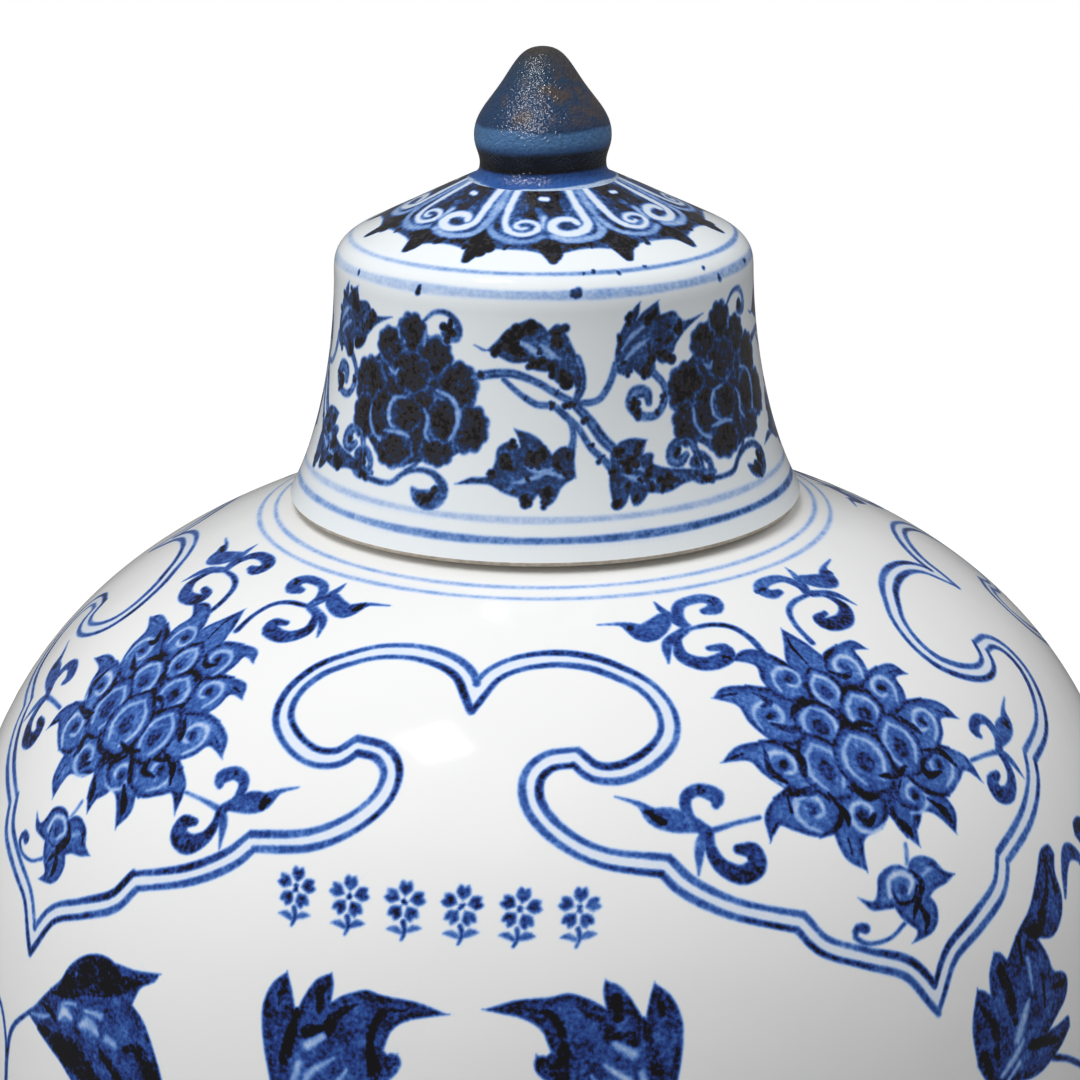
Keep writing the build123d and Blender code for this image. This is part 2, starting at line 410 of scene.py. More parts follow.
def collar_curves():
    """All the curves of the collar once round, in order, as dense (angle, level) arrays."""
    curves = []
    for head in HEAD_ANGLES:
        half = [np.array(curve, float) for curve in COLLAR]
        ahead = [curve + (head, 0) for curve in half]
        back = [curve[::-1] * (-1, 1) + (head + 90, 0) for curve in half[::-1]]
        curves += ahead + back
    dense = []
    for curve in curves:
        smooth = smooth_curve(curve * (MM_PER_DEGREE, 1))
        dense.append(np.stack([np.radians(smooth[:, 0] / MM_PER_DEGREE), smooth[:, 1]], axis=1))
    return dense


def paint_collar(surface):
    """Two lines that run side by side and come to points at every cusp."""
    curves = collar_curves()
    radii = [np.interp(curve[:, 1], surface.levels, surface.radii) for curve in curves]
    normals = []
    for curve, radius in zip(curves, radii):
        slope = np.gradient(curve, axis=0) * np.stack([radius, np.ones(len(radius))], axis=1)
        slope /= np.linalg.norm(slope, axis=1)[:, None]
        normals.append(np.stack([-slope[:, 1], slope[:, 0]], axis=1))
    for number, (curve, radius, normal) in enumerate(zip(curves, radii, normals)):
        before = cusp_offset(normals[number - 1][-1], normal[0])
        after = cusp_offset(normal[-1], normals[(number + 1) % len(normals)][0])
        steps = np.diff(curve, axis=0) * np.stack([radius[1:], np.ones(len(radius) - 1)], axis=1)
        along = np.r_[0, np.cumsum(np.hypot(*steps.T))][:, None]
        start = np.clip(1 - along / CUSP_REACH, 0, 1) ** 2
        end = np.clip(1 - (along[-1] - along) / CUSP_REACH, 0, 1) ** 2
        offset = normal * (1 - start - end) + before * start + after * end
        surface.trace(curve, np.full(len(curve), COLLAR_GAP), COLLAR_WASH)
        for side in (-1, 1):
            gap = COLLAR_GAP / 2 * (1 + GAP_WAVER * np.sin(along[:, 0] / GAP_WAVE + number))
            moved = curve + side * gap[:, None] * offset / np.stack([radius, np.ones(len(radius))], axis=1)
            phase = along[:, 0] / LINE_WAVE + 3 * side + 2 * number
            widths = COLLAR_LINE * (1 + LINE_WAVER * np.sin(phase))
            for first in range(0, len(moved) - 1, COLLAR_DIP):
                part = slice(first, first + COLLAR_DIP + 1)
                load = max(0.0, math.sin(along[first, 0] / COLLAR_LOAD_WAVE + 2 * number + side))
                surface.trace(moved[part], widths[part], BLUE + 0.02 + COLLAR_LOAD * load)


def cusp_offset(first, second):
    """Where two lines offset by the normals first and second meet, for an offset of 1."""
    middle = first + second
    middle /= np.linalg.norm(middle) + TINY
    return middle / max(middle @ first, SHARPEST_CUSP)


def paint_rings(surface, levels, width, tone, load=0.0):
    """Level rings right round the surface, darker by load towards the right front: painted shade on the
    side away from the lamps.
    """
    for level in levels:
        for start in range(0, 360, RING_ARC):
            angle = np.radians(np.arange(start, start + RING_ARC + 1.0))
            path = np.stack([angle, level + RING_SWAY * np.sin(3 * angle + level)], axis=1)
            widths = width * (1 + RING_WAVER * np.sin(7 * angle + 2 * level))
            # painted shade: more ink towards the right front, the side away from the lamps
            full = 0.5 + 0.5 * math.sin(angle[0] + RING_SHADE_PHASE)
            surface.trace(path, widths, tone + load * full)


# The lotus of each lappet, in mm about its axis and in levels. A hooked petal is its front
# edge up to the tip, its back edge from there, and the eye its pale spiral winds round:
# (x, level, turn, size, mirrored).
HOOKED_PETALS = (
    (((2, 110), (2.4, 115), (3.6, 119.4), (6, 122.6)), ((6, 122.6), (7.2, 118), (9.4, 114.6), (9, 108)),
     None),
    (((-1, 104), (1, 111), (-3, 115.4), (-9, 117.4), (-11, 124.4)),
     ((-11, 124.4), (-15.4, 120.4), (-16, 114), (-14.4, 107), (-11, 104)), (-6, 111.6, 84, 1.1, True)),
    (((6, 104), (5.4, 111), (9, 114), (14, 116.4), (18.6, 122.6)),
     ((18.6, 122.6), (21, 118), (19.6, 113.4), (17, 108), (12, 104)), (10.6, 110.8, 74, 1.0, False)),
    (((-10, 106), (-14, 112.4), (-20, 114), (-25.4, 111.6), (-29, 109.6), (-32.6, 113)),
     ((-32.6, 113), (-31.4, 107), (-27, 103), (-21, 101.4), (-13, 101)), (-19, 107.4, 30, 1.15, True)),
    (((11, 106), (15, 111), (21, 113.6), (27, 111.4), (30.4, 110), (34.6, 114.4)),
     ((34.6, 114.4), (33, 107.4), (28.4, 103.4), (22, 101), (13, 101)), (22.6, 106, 36, 1.1, False)),
    (((-10, 102), (-18, 103.4), (-23, 101), (-26.6, 96.4), (-28.4, 92.6), (-34.8, 92)),
     ((-34.8, 92), (-29.6, 88.6), (-23, 88.2), (-17, 89.4), (-10, 92)), (-20.6, 95.4, 8, 1.1, True)),
    (((10, 101), (18, 103.4), (24, 102.6), (29, 99.6), (31.4, 96), (37.4, 98)),
     ((37.4, 98), (34.4, 92.6), (28.6, 89.4), (22, 88.8), (14, 90)), (24.6, 95, 22, 1.05, False)),
    (((-8, 90), (-14, 90.6), (-19.4, 89), (-22.6, 83), (-22.8, 77.4), (-27.4, 74.4)),
     ((-27.4, 74.4), (-23.4, 71.8), (-17.4, 72.4), (-12, 75.4), (-8, 80)), (-16.4, 82, -20, 1.05, True)),
    (((10, 89), (17, 90), (22.4, 89), (24.6, 85.6), (25, 81.6), (29.4, 82)),
     ((29.4, 82), (26.6, 77.8), (21.4, 77.2), (16, 78.6), (11, 82)), (18.4, 83, 4, 0.95, False)),
    (((-2, 79), (-7, 79.4), (-11.4, 77.6), (-12.6, 72), (-11.4, 67), (-16.4, 64)),
     ((-16.4, 64), (-11.6, 61.8), (-7.4, 62.8), (-5, 66.6), (-2.4, 71)), (-5.6, 73, -24, 1.0, True)),
    (((5, 79), (12, 80), (17, 78.6), (18.4, 74), (18.4, 70.6), (22.6, 71.6)),
     ((22.6, 71.6), (20, 67.8), (14.4, 67.6), (9, 69.4), (6.4, 73)), (12, 74.4, -6, 1.0, False)),
)
HOOK_SPIRAL = (
    (2.6, 4.2), (3.9, 1.2), (3.3, -2.0), (0.6, -3.5), (-2.2, -2.4), (-2.8, 0.3), (-1.3, 2.1), (0.6, 1.6),
)
TOP_PETAL = (((-5, 74), (-2.4, 67), (0.4, 62.4), (2.8, 58)), ((2.8, 58), (5.4, 62.6), (7, 66.6), (8.5, 74)))
# x and level of the middle, width and height
POINTED_PETALS = (
    (2, 78, 10, 14), (-5.5, 86.4, 13, 15), (8.5, 86.2, 13, 14), (-10.4, 97.4, 13.5, 19),
    (13.4, 97.4, 13, 18), (1, 98, 16, 20),
)
# Points of the strokes where the pigment pooled nearly black between the petals.
POOLS = (
    ((-17, 74.6), (-14.6, 78), (-17, 79)), ((-12, 83.6), (-8, 80.8), (-3, 80.6)),
    ((2, 90.4), (6, 89.6), (9, 91.6)), ((8, 80), (12, 80.6), (14, 83)),
    ((6.4, 73.6), (10, 76.6), (13, 75.6)), ((-23, 90), (-24.4, 96), (-22, 99.6)),
    ((-18, 89.6), (-15.6, 94), (-16.4, 99)), ((-23.6, 103), (-24.4, 107)),
    ((-15, 101.6), (-19.4, 102.6), (-23.6, 102.6)), ((18, 91), (20.4, 95), (22, 97.4)),
    ((20, 101.4), (25, 103.4), (28, 108)), ((17, 104), (17.6, 107.4), (22, 107.8)),
    ((-13, 104.4), (-11, 110), (-11.4, 113)), ((-8, 111), (-6, 113.6), (-3, 112)),
    ((3, 103.6), (8, 104.6), (12, 103.4)), ((1, 113), (4, 117), (5, 120)),
    ((14, 112.6), (17.6, 117), (18.6, 120)), ((-13, 116), (-13.4, 120)), ((-29, 109), (-31.4, 111)),
    ((-29, 90.6), (-32, 91.2)), ((31, 93.4), (34.6, 95.6)), ((24, 79.6), (27, 80.2)),
    ((-21, 74), (-25, 74)), ((1, 88), (-1, 84)), ((-7, 104), (-3, 107.6), (0, 108.4)),
    ((6, 108.6), (8.6, 106)), ((-17.6, 84), (-13.6, 86.6), (-11, 86.6)), ((14, 88.6), (16.6, 90.6)),
)


def paint_hooked_petal(surface, spot, front, back, eye):
    """An outer petal that ends in a hook, with a pale spiral round a dark eye."""
    surface.fill(spot, (front, back), BLUE - 0.03, rim=DEEP + 0.04, rim_width=1.1, over=True)
    surface.stroke(spot, back[-3:], (0.8, 1.8, 1.4), DEEP + 0.08)
    surface.stroke(spot, front[:3], (1.4, 1.8, 0.8), DEEP + 0.08)
    if eye:
        heart = spot.within(*eye)
        surface.stroke(heart, HOOK_SPIRAL, (0.7, 1.2, 1.4, 1.1, 0.7), PALE + 0.05, over=True)
        surface.stroke(heart, ((-0.3, -0.4), (0.3, 0.2)), (2.0, 1.7), DEEP + 0.1, over=True)


def paint_pointed_petal(surface, spot, width, height):
    """An inner petal: a dark outline, a pale arch inside it and a dark heart."""

    def arch(scale, drop=0.0):
        half, tall = width / 2 * scale, height / 2 * scale
        side = ((half * 0.5, tall * 0.95), (half, tall * 0.25), (half * 0.78, -tall * 0.5))
        left = [(-u, v + drop) for u, v in side]
        return [*left, (0, -tall + drop), *[(u, v + drop) for u, v in side[::-1]]]

    outline = arch(1.0)
    surface.fill(spot, (outline[:4], outline[3:]), BLUE - 0.04, rim=BLACK, rim_width=1.05, over=True)
    pale = arch(0.66, 0.4)
    surface.stroke(spot, pale[:4], (0.8, 1.4, 0.8), PALE + 0.07, over=True)
    surface.stroke(spot, pale[3:], (0.8, 1.4, 0.8), PALE + 0.07, over=True)
    heart = arch(0.3, 1.2)
    surface.fill(spot, (heart[:4], heart[3:]), DEEP, rim=DEEP + 0.06, rim_width=0.8, over=True)


def paint_lotus(surface, spot):
    """The many-petalled blossom: a dark core, hooked petals, then pointed ones over them."""
    core = ((-13, 84), (0, 76), (14, 82), (18, 95), (14, 107), (0, 111), (-12, 108), (-17, 96))
    surface.fill(spot, (core,), DEEP)
    surface.fill(spot, TOP_PETAL, WASH + 0.12, rim=DEEP, rim_width=1.1, over=True)
    surface.stroke(spot, ((2.8, 60), (1.6, 64), (2.2, 70)), (0.4, 1.3, 0.8), BLACK)
    for front, back, eye in HOOKED_PETALS:
        paint_hooked_petal(surface, spot, front, back, eye)
    for x, level, width, height in POINTED_PETALS:
        paint_pointed_petal(surface, spot.within(x, level), width, height)
    for points in POOLS:
        surface.stroke(spot, points, (1.0, 2.6, 1.2), BLACK)


# The sprig beside the top of each lotus, about the point where its strokes meet.
UPPER_SPRIG = (
    # points, widths, tone
    (((0, 0), (-6, 0.5), (-10, 3), (-11.5, 8), (-11, 14)), (1.2, 1.4, 1.6, 1.9), DEEP),
    (((0, 0), (5, 2.5), (7.5, 7.5), (4, 11), (-2, 10.5), (-3.5, 8), (0, 7)),
     (1.0, 1.6, 3.4, 4.4, 4.4, 3.0, 1.6), DEEP),
    (((0, 0), (-0.5, -4.5), (-4, -8), (-9.5, -8.3), (-12, -6.3), (-10.5, -4), (-7.5, -4)),
     (1.6, 2.6, 2.8, 3.4, 4.4, 4.0, 2.2), BLUE + 0.08),
    (((1, -1), (2, -5), (6, -3), (10.5, -1.5), (12.5, -4), (14, -5.5), (19, -6.3)),
     (1.5, 3.2, 5.2, 5.4, 3, 1.2, 0.3), BLUE + 0.08),
    (((0, -1), (1.5, -7), (1.2, -10.5)), (2.4, 2.0, 0.4), BLUE),
    (((1, 0), (8, 3), (12, 8.5)), (2.6, 2.6, 0.4), BLUE + 0.08),
)
HEAPED_WIDTH = 3.3  # mm; a stroke wider than this has a dark heap on it
HEAP_PLACE = 0.65  # how far along the stroke its heap lies
HEAP_SIZE = 0.26  # radius of the heap for 1 mm of width
SIDE_SPRIG = (
    (((-12, -1.5), (-6, -1), (0, 0)), (1.0, 1.1, 1.6), BLUE),
    (((0, 0), (1.2, 3.5), (0.5, 7.5), (-3, 10), (-7, 8.8), (-7.5, 5.5), (-4.5, 4.6)),
     (1.8, 2.4, 3.4, 4.6, 4.6, 3.8, 2.0), DEEP),
    (((1.5, 0), (2.8, -4), (1.5, -8), (-2, -9.4), (-5, -7.6), (-4, -5.6)),
     (1.8, 2.6, 2.8, 3.2, 3.6, 1.8), BLUE + 0.08),
    (((0, -0.5), (3, -2), (7, -3.5), (10, -4.5), (12, -7.5), (16, -9.5)),
     (1.5, 3.6, 5.4, 4.0, 1.4, 0.3), BLUE + 0.06),
    (((1, 0.5), (3.5, 3.5), (6, 9)), (2.4, 2.4, 0.4), BLUE + 0.05),
)
# x, level, turn, size, mirrored
SIDE_SPRIGS = ((46, 110, 0, 1.0, False), (-46, 108.5, 0, 1.1, True))
UPPER_SPRIGS = ((19, 50.5, 0, 1.0, False), (-20, 52, 6, 1.05, True))


def paint_sprig(surface, spot, strokes):
    """Curled strokes from one joint, each with its pigment heaped where the brush rested."""
    for points, widths, tone in strokes:
        surface.stroke(spot, points, widths, tone)
        rest = points[round((len(points) - 1) * HEAP_PLACE)]
        if max(widths) > HEAPED_WIDTH:
            paint_dots(surface, spot, ((*rest, max(widths) * HEAP_SIZE),), BLACK - 0.04)


LOW_SPRIG_BODY = (
    ((-15.6, 130), (-12, 131.6), (-10, 129.5), (-8.6, 126.4), (-5, 124.8), (-1.6, 125.2), (0, 126.6)),
    ((0, 126.6), (2, 124.8), (5, 124.6), (8.6, 126.4), (10.6, 129.6), (13.8, 131.4)),
    ((13.8, 131.4), (10.6, 132.6), (6.4, 133.2), (4.4, 134.4)),
    ((4.4, 134.4), (5.6, 137), (4.8, 140.4), (2, 142.6), (-3.8, 143.4)),
    ((-3.8, 143.4), (-1.8, 141), (-4.8, 138), (-6.6, 134.4)),
    ((-6.6, 134.4), (-9.4, 134), (-13, 133.4), (-15.6, 130)),
)


def paint_low_sprig(surface, angle):
    """The three-lobed bud that hangs under the lotus."""
    spot = Spot(angle)
    surface.fill(spot, LOW_SPRIG_BODY, BLUE - 0.02, rim=DEEP + 0.03, rim_width=1.2)
    surface.stroke(spot, ((10, 128.6), (7, 128), (3.4, 129.6), (2.6, 132)), (0.6, 1.2, 0.6),
                   PALE + 0.15, over=True)
    surface.stroke(spot, ((4, 127), (7.4, 127.2), (9.6, 130)), (0.8, 1.5, 1.0), DEEP + 0.05)
    surface.stroke(spot, ((1, 136), (1.8, 139), (0.6, 141.6)), (1.6, 2.6, 1.0), BLACK)
    surface.stroke(spot, ((1, 127), (3, 131), (0, 135), (-2, 138)), (1.0, 2.4, 2.6, 1.2), BLACK)
    surface.stroke(spot, ((-6, 130), (-5, 133.5), (-1, 134), (1.5, 131)), (1.2, 1.4, 1.2), BLACK)
    surface.stroke(spot, ((-7, 131.5), (-6, 127.8), (-2, 127), (0.5, 129.5), (-1.5, 132)),
                   (1.2, 1.5, 1.2), PALE, over=True)
    surface.stroke(spot, ((-3.4, 130.6), (-2.8, 130.9)), 2.2, DEEP, over=True)
    surface.stroke(spot, ((2, 121), (1.5, 123), (0.5, 125.5)), 1.3, WASH)
    surface.stroke(spot, ((-5, 138.5), (-10, 140.8), (-16, 140.8), (-19.3, 138.5), (-18, 136.6),
                          (-16, 137.2)),
                   (1.0, 0.8, 1.0, 1.4, 2.0, 2.6), BLUE + 0.1)


# The row of small blossoms under the front head of the collar.
BLOSSOM_LEVEL = 125.3
BLOSSOM_STEP = 13.4  # mm from one blossom to the next
BLOSSOM_COUNT = 6
PETAL_COUNT = 5
BLOSSOM_PETAL = (((0, -1.2), (-1.7, -2.9), (-1.1, -4.9), (0, -4.4)),
                 ((0, -4.4), (1.1, -4.9), (1.7, -2.9), (0, -1.2)))


def paint_small_blossoms(surface, angle):
    """A row of five-petalled blossoms, each on a short stalk with two leaves."""
    for number in range(BLOSSOM_COUNT):
        x = (number - (BLOSSOM_COUNT - 1) / 2) * BLOSSOM_STEP
        sway = RANDOM.normal(0, 1, 2)
        home = Spot(angle, x - 3, BLOSSOM_LEVEL - 1.2 + 0.3 * sway[0], turn=6 * sway[1])
        for petal in range(PETAL_COUNT):
            turn = 360 / PETAL_COUNT * petal
            surface.fill(home.within(0, 0, turn), BLOSSOM_PETAL, DEEP, rim=BLUE, rim_width=0.6)
        paint_dots(surface, home, ((0, 0, 0.55),), BLACK)
        surface.stroke(home, ((0.2, 4.6), (0.8, 6.6), (0.2, 8.6)), (1.1, 1.0, 0.5), DEEP)
        surface.stroke(home, ((0.6, 7), (2.6, 5.8), (4.4, 5.6)), (0.6, 1.8, 0.4), BLUE)
        surface.stroke(home, ((0.6, 7.4), (-1.6, 6.4), (-3.4, 6.6)), (0.6, 1.7, 0.4), BLUE)


# Large leaves of the frieze. Each has outline curves, dark streaks (points, widths) and pale
# patches (points, widths), in mm about the leaf's own angle and at its level.
BEAKED_LEAF = (
    (((-10, 176), (0, 165.8), (10, 156.8), (20, 153), (29, 152.4), (36.4, 151.2)),
     ((36.4, 151.2), (35.4, 153.4), (31.6, 156), (29.8, 160.6)),
     ((29.8, 160.6), (34.6, 164), (39.4, 171), (43.6, 180), (45, 190)), ((45, 190), (36, 188.4), (30, 194)),
     ((30, 194), (20, 192.6), (13, 187.4), (6, 182.8), (-2, 179), (-10, 176))),
    ((((4, 164.6), (10, 160), (18, 157.2), (25, 157), (31, 154.8)), (2.5, 6, 8, 5, 1.5)),
     (((0, 166.8), (6, 165.6), (12, 163.8)), (1.4, 2.2, 0.8)),
     (((-4, 177.4), (4, 178.6), (12, 180), (20, 184)), (2, 4.4, 6.5, 5)),
     (((-4, 171), (1, 172), (3, 173.6)), (1, 2, 1)), (((29, 172), (34, 171), (40, 178)), (2, 3.5, 4)),
     (((20, 174), (27, 179), (34, 184)), (1.5, 3, 2)), (((24, 188), (18, 184)), (2, 4))),
    ((((4.4, 172), (6.2, 169.8), (9, 170.6)), (1.5, 3.4, 1.5)),
     (((13, 171), (16, 169.6), (19.4, 171)), (1.5, 3.2, 1.6)),
     (((23, 171.4), (26, 172)), (2.2, 1.6)), (((6, 167.6), (10, 166.6)), (0.8, 1.2)),
     (((14, 167), (20, 166.4)), (0.8, 1.6)),
     (((-8, 175.4), (-3, 174.2), (0, 173)), (0.6, 1.4, 0.6))),
)
CROWNED_LEAF = (
    (((-15, 147), (-8, 144.8), (0, 144), (4, 143.2), (9, 144.8), (12.6, 147)),
     ((12.6, 147), (12, 143), (12.4, 140.4)), ((12.4, 140.4), (16.4, 142.6), (20, 148), (21.4, 151)),
     ((21.4, 151), (22.4, 146), (23.6, 141.8)),
     ((23.6, 141.8), (27.4, 145), (30, 151), (29.6, 160), (26.6, 174)),
     ((26.6, 174), (20, 182), (15, 187)), ((15, 187), (6, 180), (0, 168), (-1.4, 163)),
     ((-1.4, 163), (-3.6, 160.4), (-3.4, 157)), ((-3.4, 157), (-1.6, 157.6), (0, 156.4)),
     ((0, 156.4), (-2, 151.6), (-6.4, 148.8), (-15, 147))),
    ((((-6, 146.6), (0, 148), (3, 154), (2, 162)), (0.8, 2.2, 2, 4)),
     (((6, 146.4), (11, 149.6), (14, 153.6), (18, 155)), (1, 2.4, 3.2, 4.4)),
     (((15, 144.6), (15.4, 149)), (2.6, 2.4)), (((25, 146.4), (25.6, 149)), (2, 1.4)),
     (((21, 150), (23, 157), (24.4, 162)), (1.2, 3, 2.6)),
     (((3, 170), (9, 177), (14, 184)), (2, 4, 3)), (((-2, 159), (0.6, 161)), (3, 3))),
    ((((14.6, 155), (18.6, 157.6)), (1.8, 2.4)), (((12, 159.6), (18, 164), (20, 168)), (0.8, 1.8, 1)),
     (((20.6, 162), (22, 166)), (1.8, 2.2)),
     (((9, 162), (13, 168), (15, 174)), (0.6, 1.6, 0.6))),
)
BRANCHED_LEAF = (
    (((-24, 178), (-24.4, 168), (-21, 159.6)), ((-21, 159.6), (-18.6, 160.6), (-16.8, 162.4)),
     ((-16.8, 162.4), (-15.8, 157), (-13, 152.8)), ((-13, 152.8), (-10.8, 153.4), (-8.8, 156)),
     ((-8.8, 156), (-3, 151), (4, 147), (11, 140.4), (15.4, 136.2), (20, 136.2), (21.2, 139)),
     ((21.2, 139), (19, 143), (19.4, 149), (16.6, 154), (11, 156.6), (4.4, 154.6)),
     ((4.4, 154.6), (7.4, 160), (9, 164.6), (13, 166.4), (14.8, 169), (13, 173), (8, 176), (4, 178.4)),
     ((4, 178.4), (8.6, 178.4), (13.4, 178), (13.8, 181)),
     ((13.8, 181), (8, 184.6), (-2, 187.6), (-12, 186)),
     ((-12, 186), (-20, 184), (-24, 178))),
    ((((16.4, 139.6), (14.6, 143), (11, 148), (5, 152.4), (0, 152)), (2.4, 1.8, 3, 4, 1.6)),
     (((17, 141), (17, 147)), (1.4, 1.8)),
     (((-12, 157), (-10, 165), (-9, 172)), (3, 3.2, 2)),
     (((-20.6, 164), (-17, 170), (-17, 178)), (1.6, 3, 2.4)),
     (((-3, 152.6), (-3.4, 158)), (2.2, 1.4)), (((4, 164), (3.4, 172)), (2, 1.2)),
     (((8, 168.6), (13, 169)), (1.8, 2)),
     (((-4, 179), (2, 180.6), (8, 182)), (3, 3, 2)), (((0, 154.6), (2.4, 157)), (2.4, 1.4)),
     (((-22, 176), (-20, 181)), (3, 3))),
    ((((-9, 176), (-5, 170.6), (-3, 168)), (3, 2.2, 1)),
     (((-16, 183), (-11, 180), (-7, 177)), (1, 1.8, 1.4)),
     (((-14, 185), (-9, 182)), (0.8, 1.2)), (((-1, 158), (-1, 166)), (1.6, 1))),
)
# leaf, angle in degrees, mirrored, x of its middle, level it is moved down by
FRIEZE_LEAVES = (
    (BEAKED_LEAF, -50, False, 0, 0), (BEAKED_LEAF, -50, True, -41.5, 5.5), (CROWNED_LEAF, 0, False, 0, 0),
    (CROWNED_LEAF, 0, True, -38.6, 1.5), (BRANCHED_LEAF, 48, False, 0, 0),
    (BRANCHED_LEAF, 48, True, 56, 0),
)
# Stems as (points, widths), in mm about an angle.
FRIEZE_STEMS = (
    (-50, ((-20.4, 216), (-20.6, 200), (-20, 190), (-17.4, 182.6), (-10, 176), (-2, 170)),
     (2.0, 1.9, 1.6, 1.2, 1.0)),
    (-50, ((-20.6, 196), (-21, 188), (-24, 181), (-30, 176.6), (-38, 173)), (1.4, 1.4, 1.3, 1.0)),
    (0, ((-19.4, 208), (-18, 198), (-8, 192), (6, 186), (16, 178)), (2.0, 1.6, 1.6, 2.4)),
    (0, ((-19.4, 208), (-20.6, 198), (-30, 193), (-44, 188), (-54, 180)), (2.0, 1.6, 1.6, 2.4)),
    (48, ((28, 216), (26, 200), (14, 190), (2, 184), (-6, 176)), (2.0, 1.6, 1.6, 2.4)),
    (48, ((28, 216), (30, 200), (42, 190), (54, 184), (62, 176)), (2.0, 1.6, 1.6, 2.4)),
    (48, ((21, 150), (24, 144), (28, 141), (33, 144), (35, 150)), (1.0, 3.2, 5.0, 3.2, 1.0)),
)
# angle, x, level of the middle and size of each large blossom of one half turn
FRIEZE_BLOSSOMS = ((-50, -20.4, 246, 1.15), (0, -19.4, 246, 1.25), (48, 28, 246, 1.15))
LOTUS_MIDDLE = 95  # level of the middle of the lotus as it is drawn
SCROLL_LEVEL = 304.0
SCROLL_COUNT = 8  # scrolls once round under the blossoms
LOWER_TURN = -7  # degrees from the front to the first scroll and the first foot panel
# Leafy stems on each side of a large blossom, in mm about its middle.
SIDE_STEMS = (
    (((12, 34), (26, 42), (42, 36), (52, 20), (52, 2), (44, -12)), (2.2, 2.0, 1.8, 1.4)),
    (((52, 12), (60, 4), (66, -8), (62, -18), (54, -16), (55, -9)), (1.6, 1.5, 1.6, 3.0, 3.2, 1.8)),
    (((42, 36), (54, 40), (62, 34)), (1.6, 2.6, 0.6)),
)
SIDE_STEM_LEAVES = ((41, -18, -20, 1.6), (70, 27, 60, 1.5), (31, 18, 150, 1.2), (56, 52, 120, 1.3))


def paint_leaf(surface, spot, leaf):
    """A large leaf: blue wash, darker towards its edge, with dark streaks and pale veins."""
    curves, streaks, lights = leaf
    surface.fill(spot, curves, BLUE + 0.13, rim=DEEP + 0.06, rim_width=1.8)
    for points, widths in streaks:
        surface.stroke(spot, points, 1.3 * np.array(widths), DEEP + 0.08)
        surface.stroke(spot, points, widths, BLACK + 0.06)
    for points, widths in lights:
        surface.stroke(spot, points, 1.3 * np.array(widths), WASH + 0.06, over=True)
        surface.stroke(spot, points, 0.7 * np.array(widths), 0.28, over=True)


def paint_frieze(surface):
    """Large leaves, stems and blossoms round the widest part of the body."""
    for half in (0, 180):
        for angle, points, widths in FRIEZE_STEMS:
            surface.stroke(Spot(angle + half), points, widths, DEEP)
        for leaf, angle, mirrored, x, drop in FRIEZE_LEAVES:
            paint_leaf(surface, Spot(angle + half, x, drop, mirror=mirrored), leaf)
        for angle, x, level, size in FRIEZE_BLOSSOMS:
            paint_lotus(surface, Spot(angle + half, x, level - LOTUS_MIDDLE * size, size=size))
            for mirrored in (False, True):
                home = Spot(angle + half, x, level, mirror=mirrored)
                for points, widths in SIDE_STEMS:
                    surface.stroke(home, points, widths, DEEP)
                for leaf_x, leaf_level, turn, leaf_size in SIDE_STEM_LEAVES:
                    paint_leaf(surface, home.within(leaf_x, leaf_level, turn, leaf_size), SIMPLE_LEAF)


SCROLL = (
    (((-72, 12), (-60, 4), (-45, 0), (-28, 6), (-14, 18), (0, 24), (16, 18), (30, 6), (46, 0), (60, 4),
      (72, 12)),
     (2.2, 2.0, 2.2)),
    (((-28, 6), (-24, -6), (-12, -12), (0, -6), (0, 4), (-8, 8), (-13, 3)), (2.0, 1.6, 1.6, 3.4, 3.0)),
    (((30, 6), (26, -8), (16, -14), (8, -10)), (1.8, 1.6, 3.8, 0.6)),
    (((0, 24), (-2, 34), (-12, 38), (-20, 32), (-16, 26)), (1.8, 1.6, 3.6, 3.0)),
    (((16, 18), (24, 26), (36, 28), (42, 22)), (1.8, 2.2, 4.0, 0.6)),
)
SCROLL_LEAVES = ((-50, 20, 200, 1.2), (-34, -16, 20, 1.3), (48, -18, 340, 1.3), (40, 32, 160, 1.1),
                 (8, 40, 190, 1.1))
SIMPLE_LEAF = (
    (((0, 9), (-7, 4), (-9, -4)), ((-9, -4), (-6, -5), (-4, -3)), ((-4, -3), (-4, -9), (0, -14)),
     ((0, -14), (3, -9), (4, -3)),
     ((4, -3), (7, -5), (9, -4)), ((9, -4), (7, 4), (0, 9))),
    ((((-5, 0), (-1, 4)), (2, 3)), (((4, -1), (2, 4)), (2.4, 2)), (((-1, -9), (1, -5)), (1.6, 1.4))),
    ((((0, 6), (0, -4)), (0.6, 1.6)),),
)


def paint_scrolls(surface):
    """A leafy scroll that runs round under the blossoms."""
    for number in range(SCROLL_COUNT):
        home = Spot(LOWER_TURN + 360 / SCROLL_COUNT * number, 0, SCROLL_LEVEL, mirror=number % 2 == 1)
        for points, widths in SCROLL:
            surface.stroke(home, points, widths, DEEP)
        for x, level, turn, size in SCROLL_LEAVES:
            paint_leaf(surface, home.within(x, level, turn, size), SIMPLE_LEAF)


FRIEZE_RINGS = (356.0, 361.0)
FOOT_RINGS = (566.0, 571.0)
PANEL_COUNT = 16
PANEL_HALF = 180.0 / PANEL_COUNT * 0.88  # degrees
PANEL_HALF_WIDTH = 16  # mm, near enough to space the samples
# Upright petal panels above the foot, as (share of the half width, level).
FOOT_PANEL = ((0, 374), (0.3, 384), (0.72, 394), (1.0, 412), (1.0, 460), (1.0, 556))
FOOT_PANEL_INSIDE = ((0, 387), (0.26, 394), (0.56, 401), (0.76, 416), (0.76, 460), (0.76, 550))
FOOT_BUD = ((0, 446), (-4, 436), (-1, 428), (6, 430), (6, 438), (1, 439))
FOOT_DROP = (((0, 452), (-5, 470), (-3, 480), (0, 484)), ((0, 484), (3, 480), (5, 470), (0, 452)))


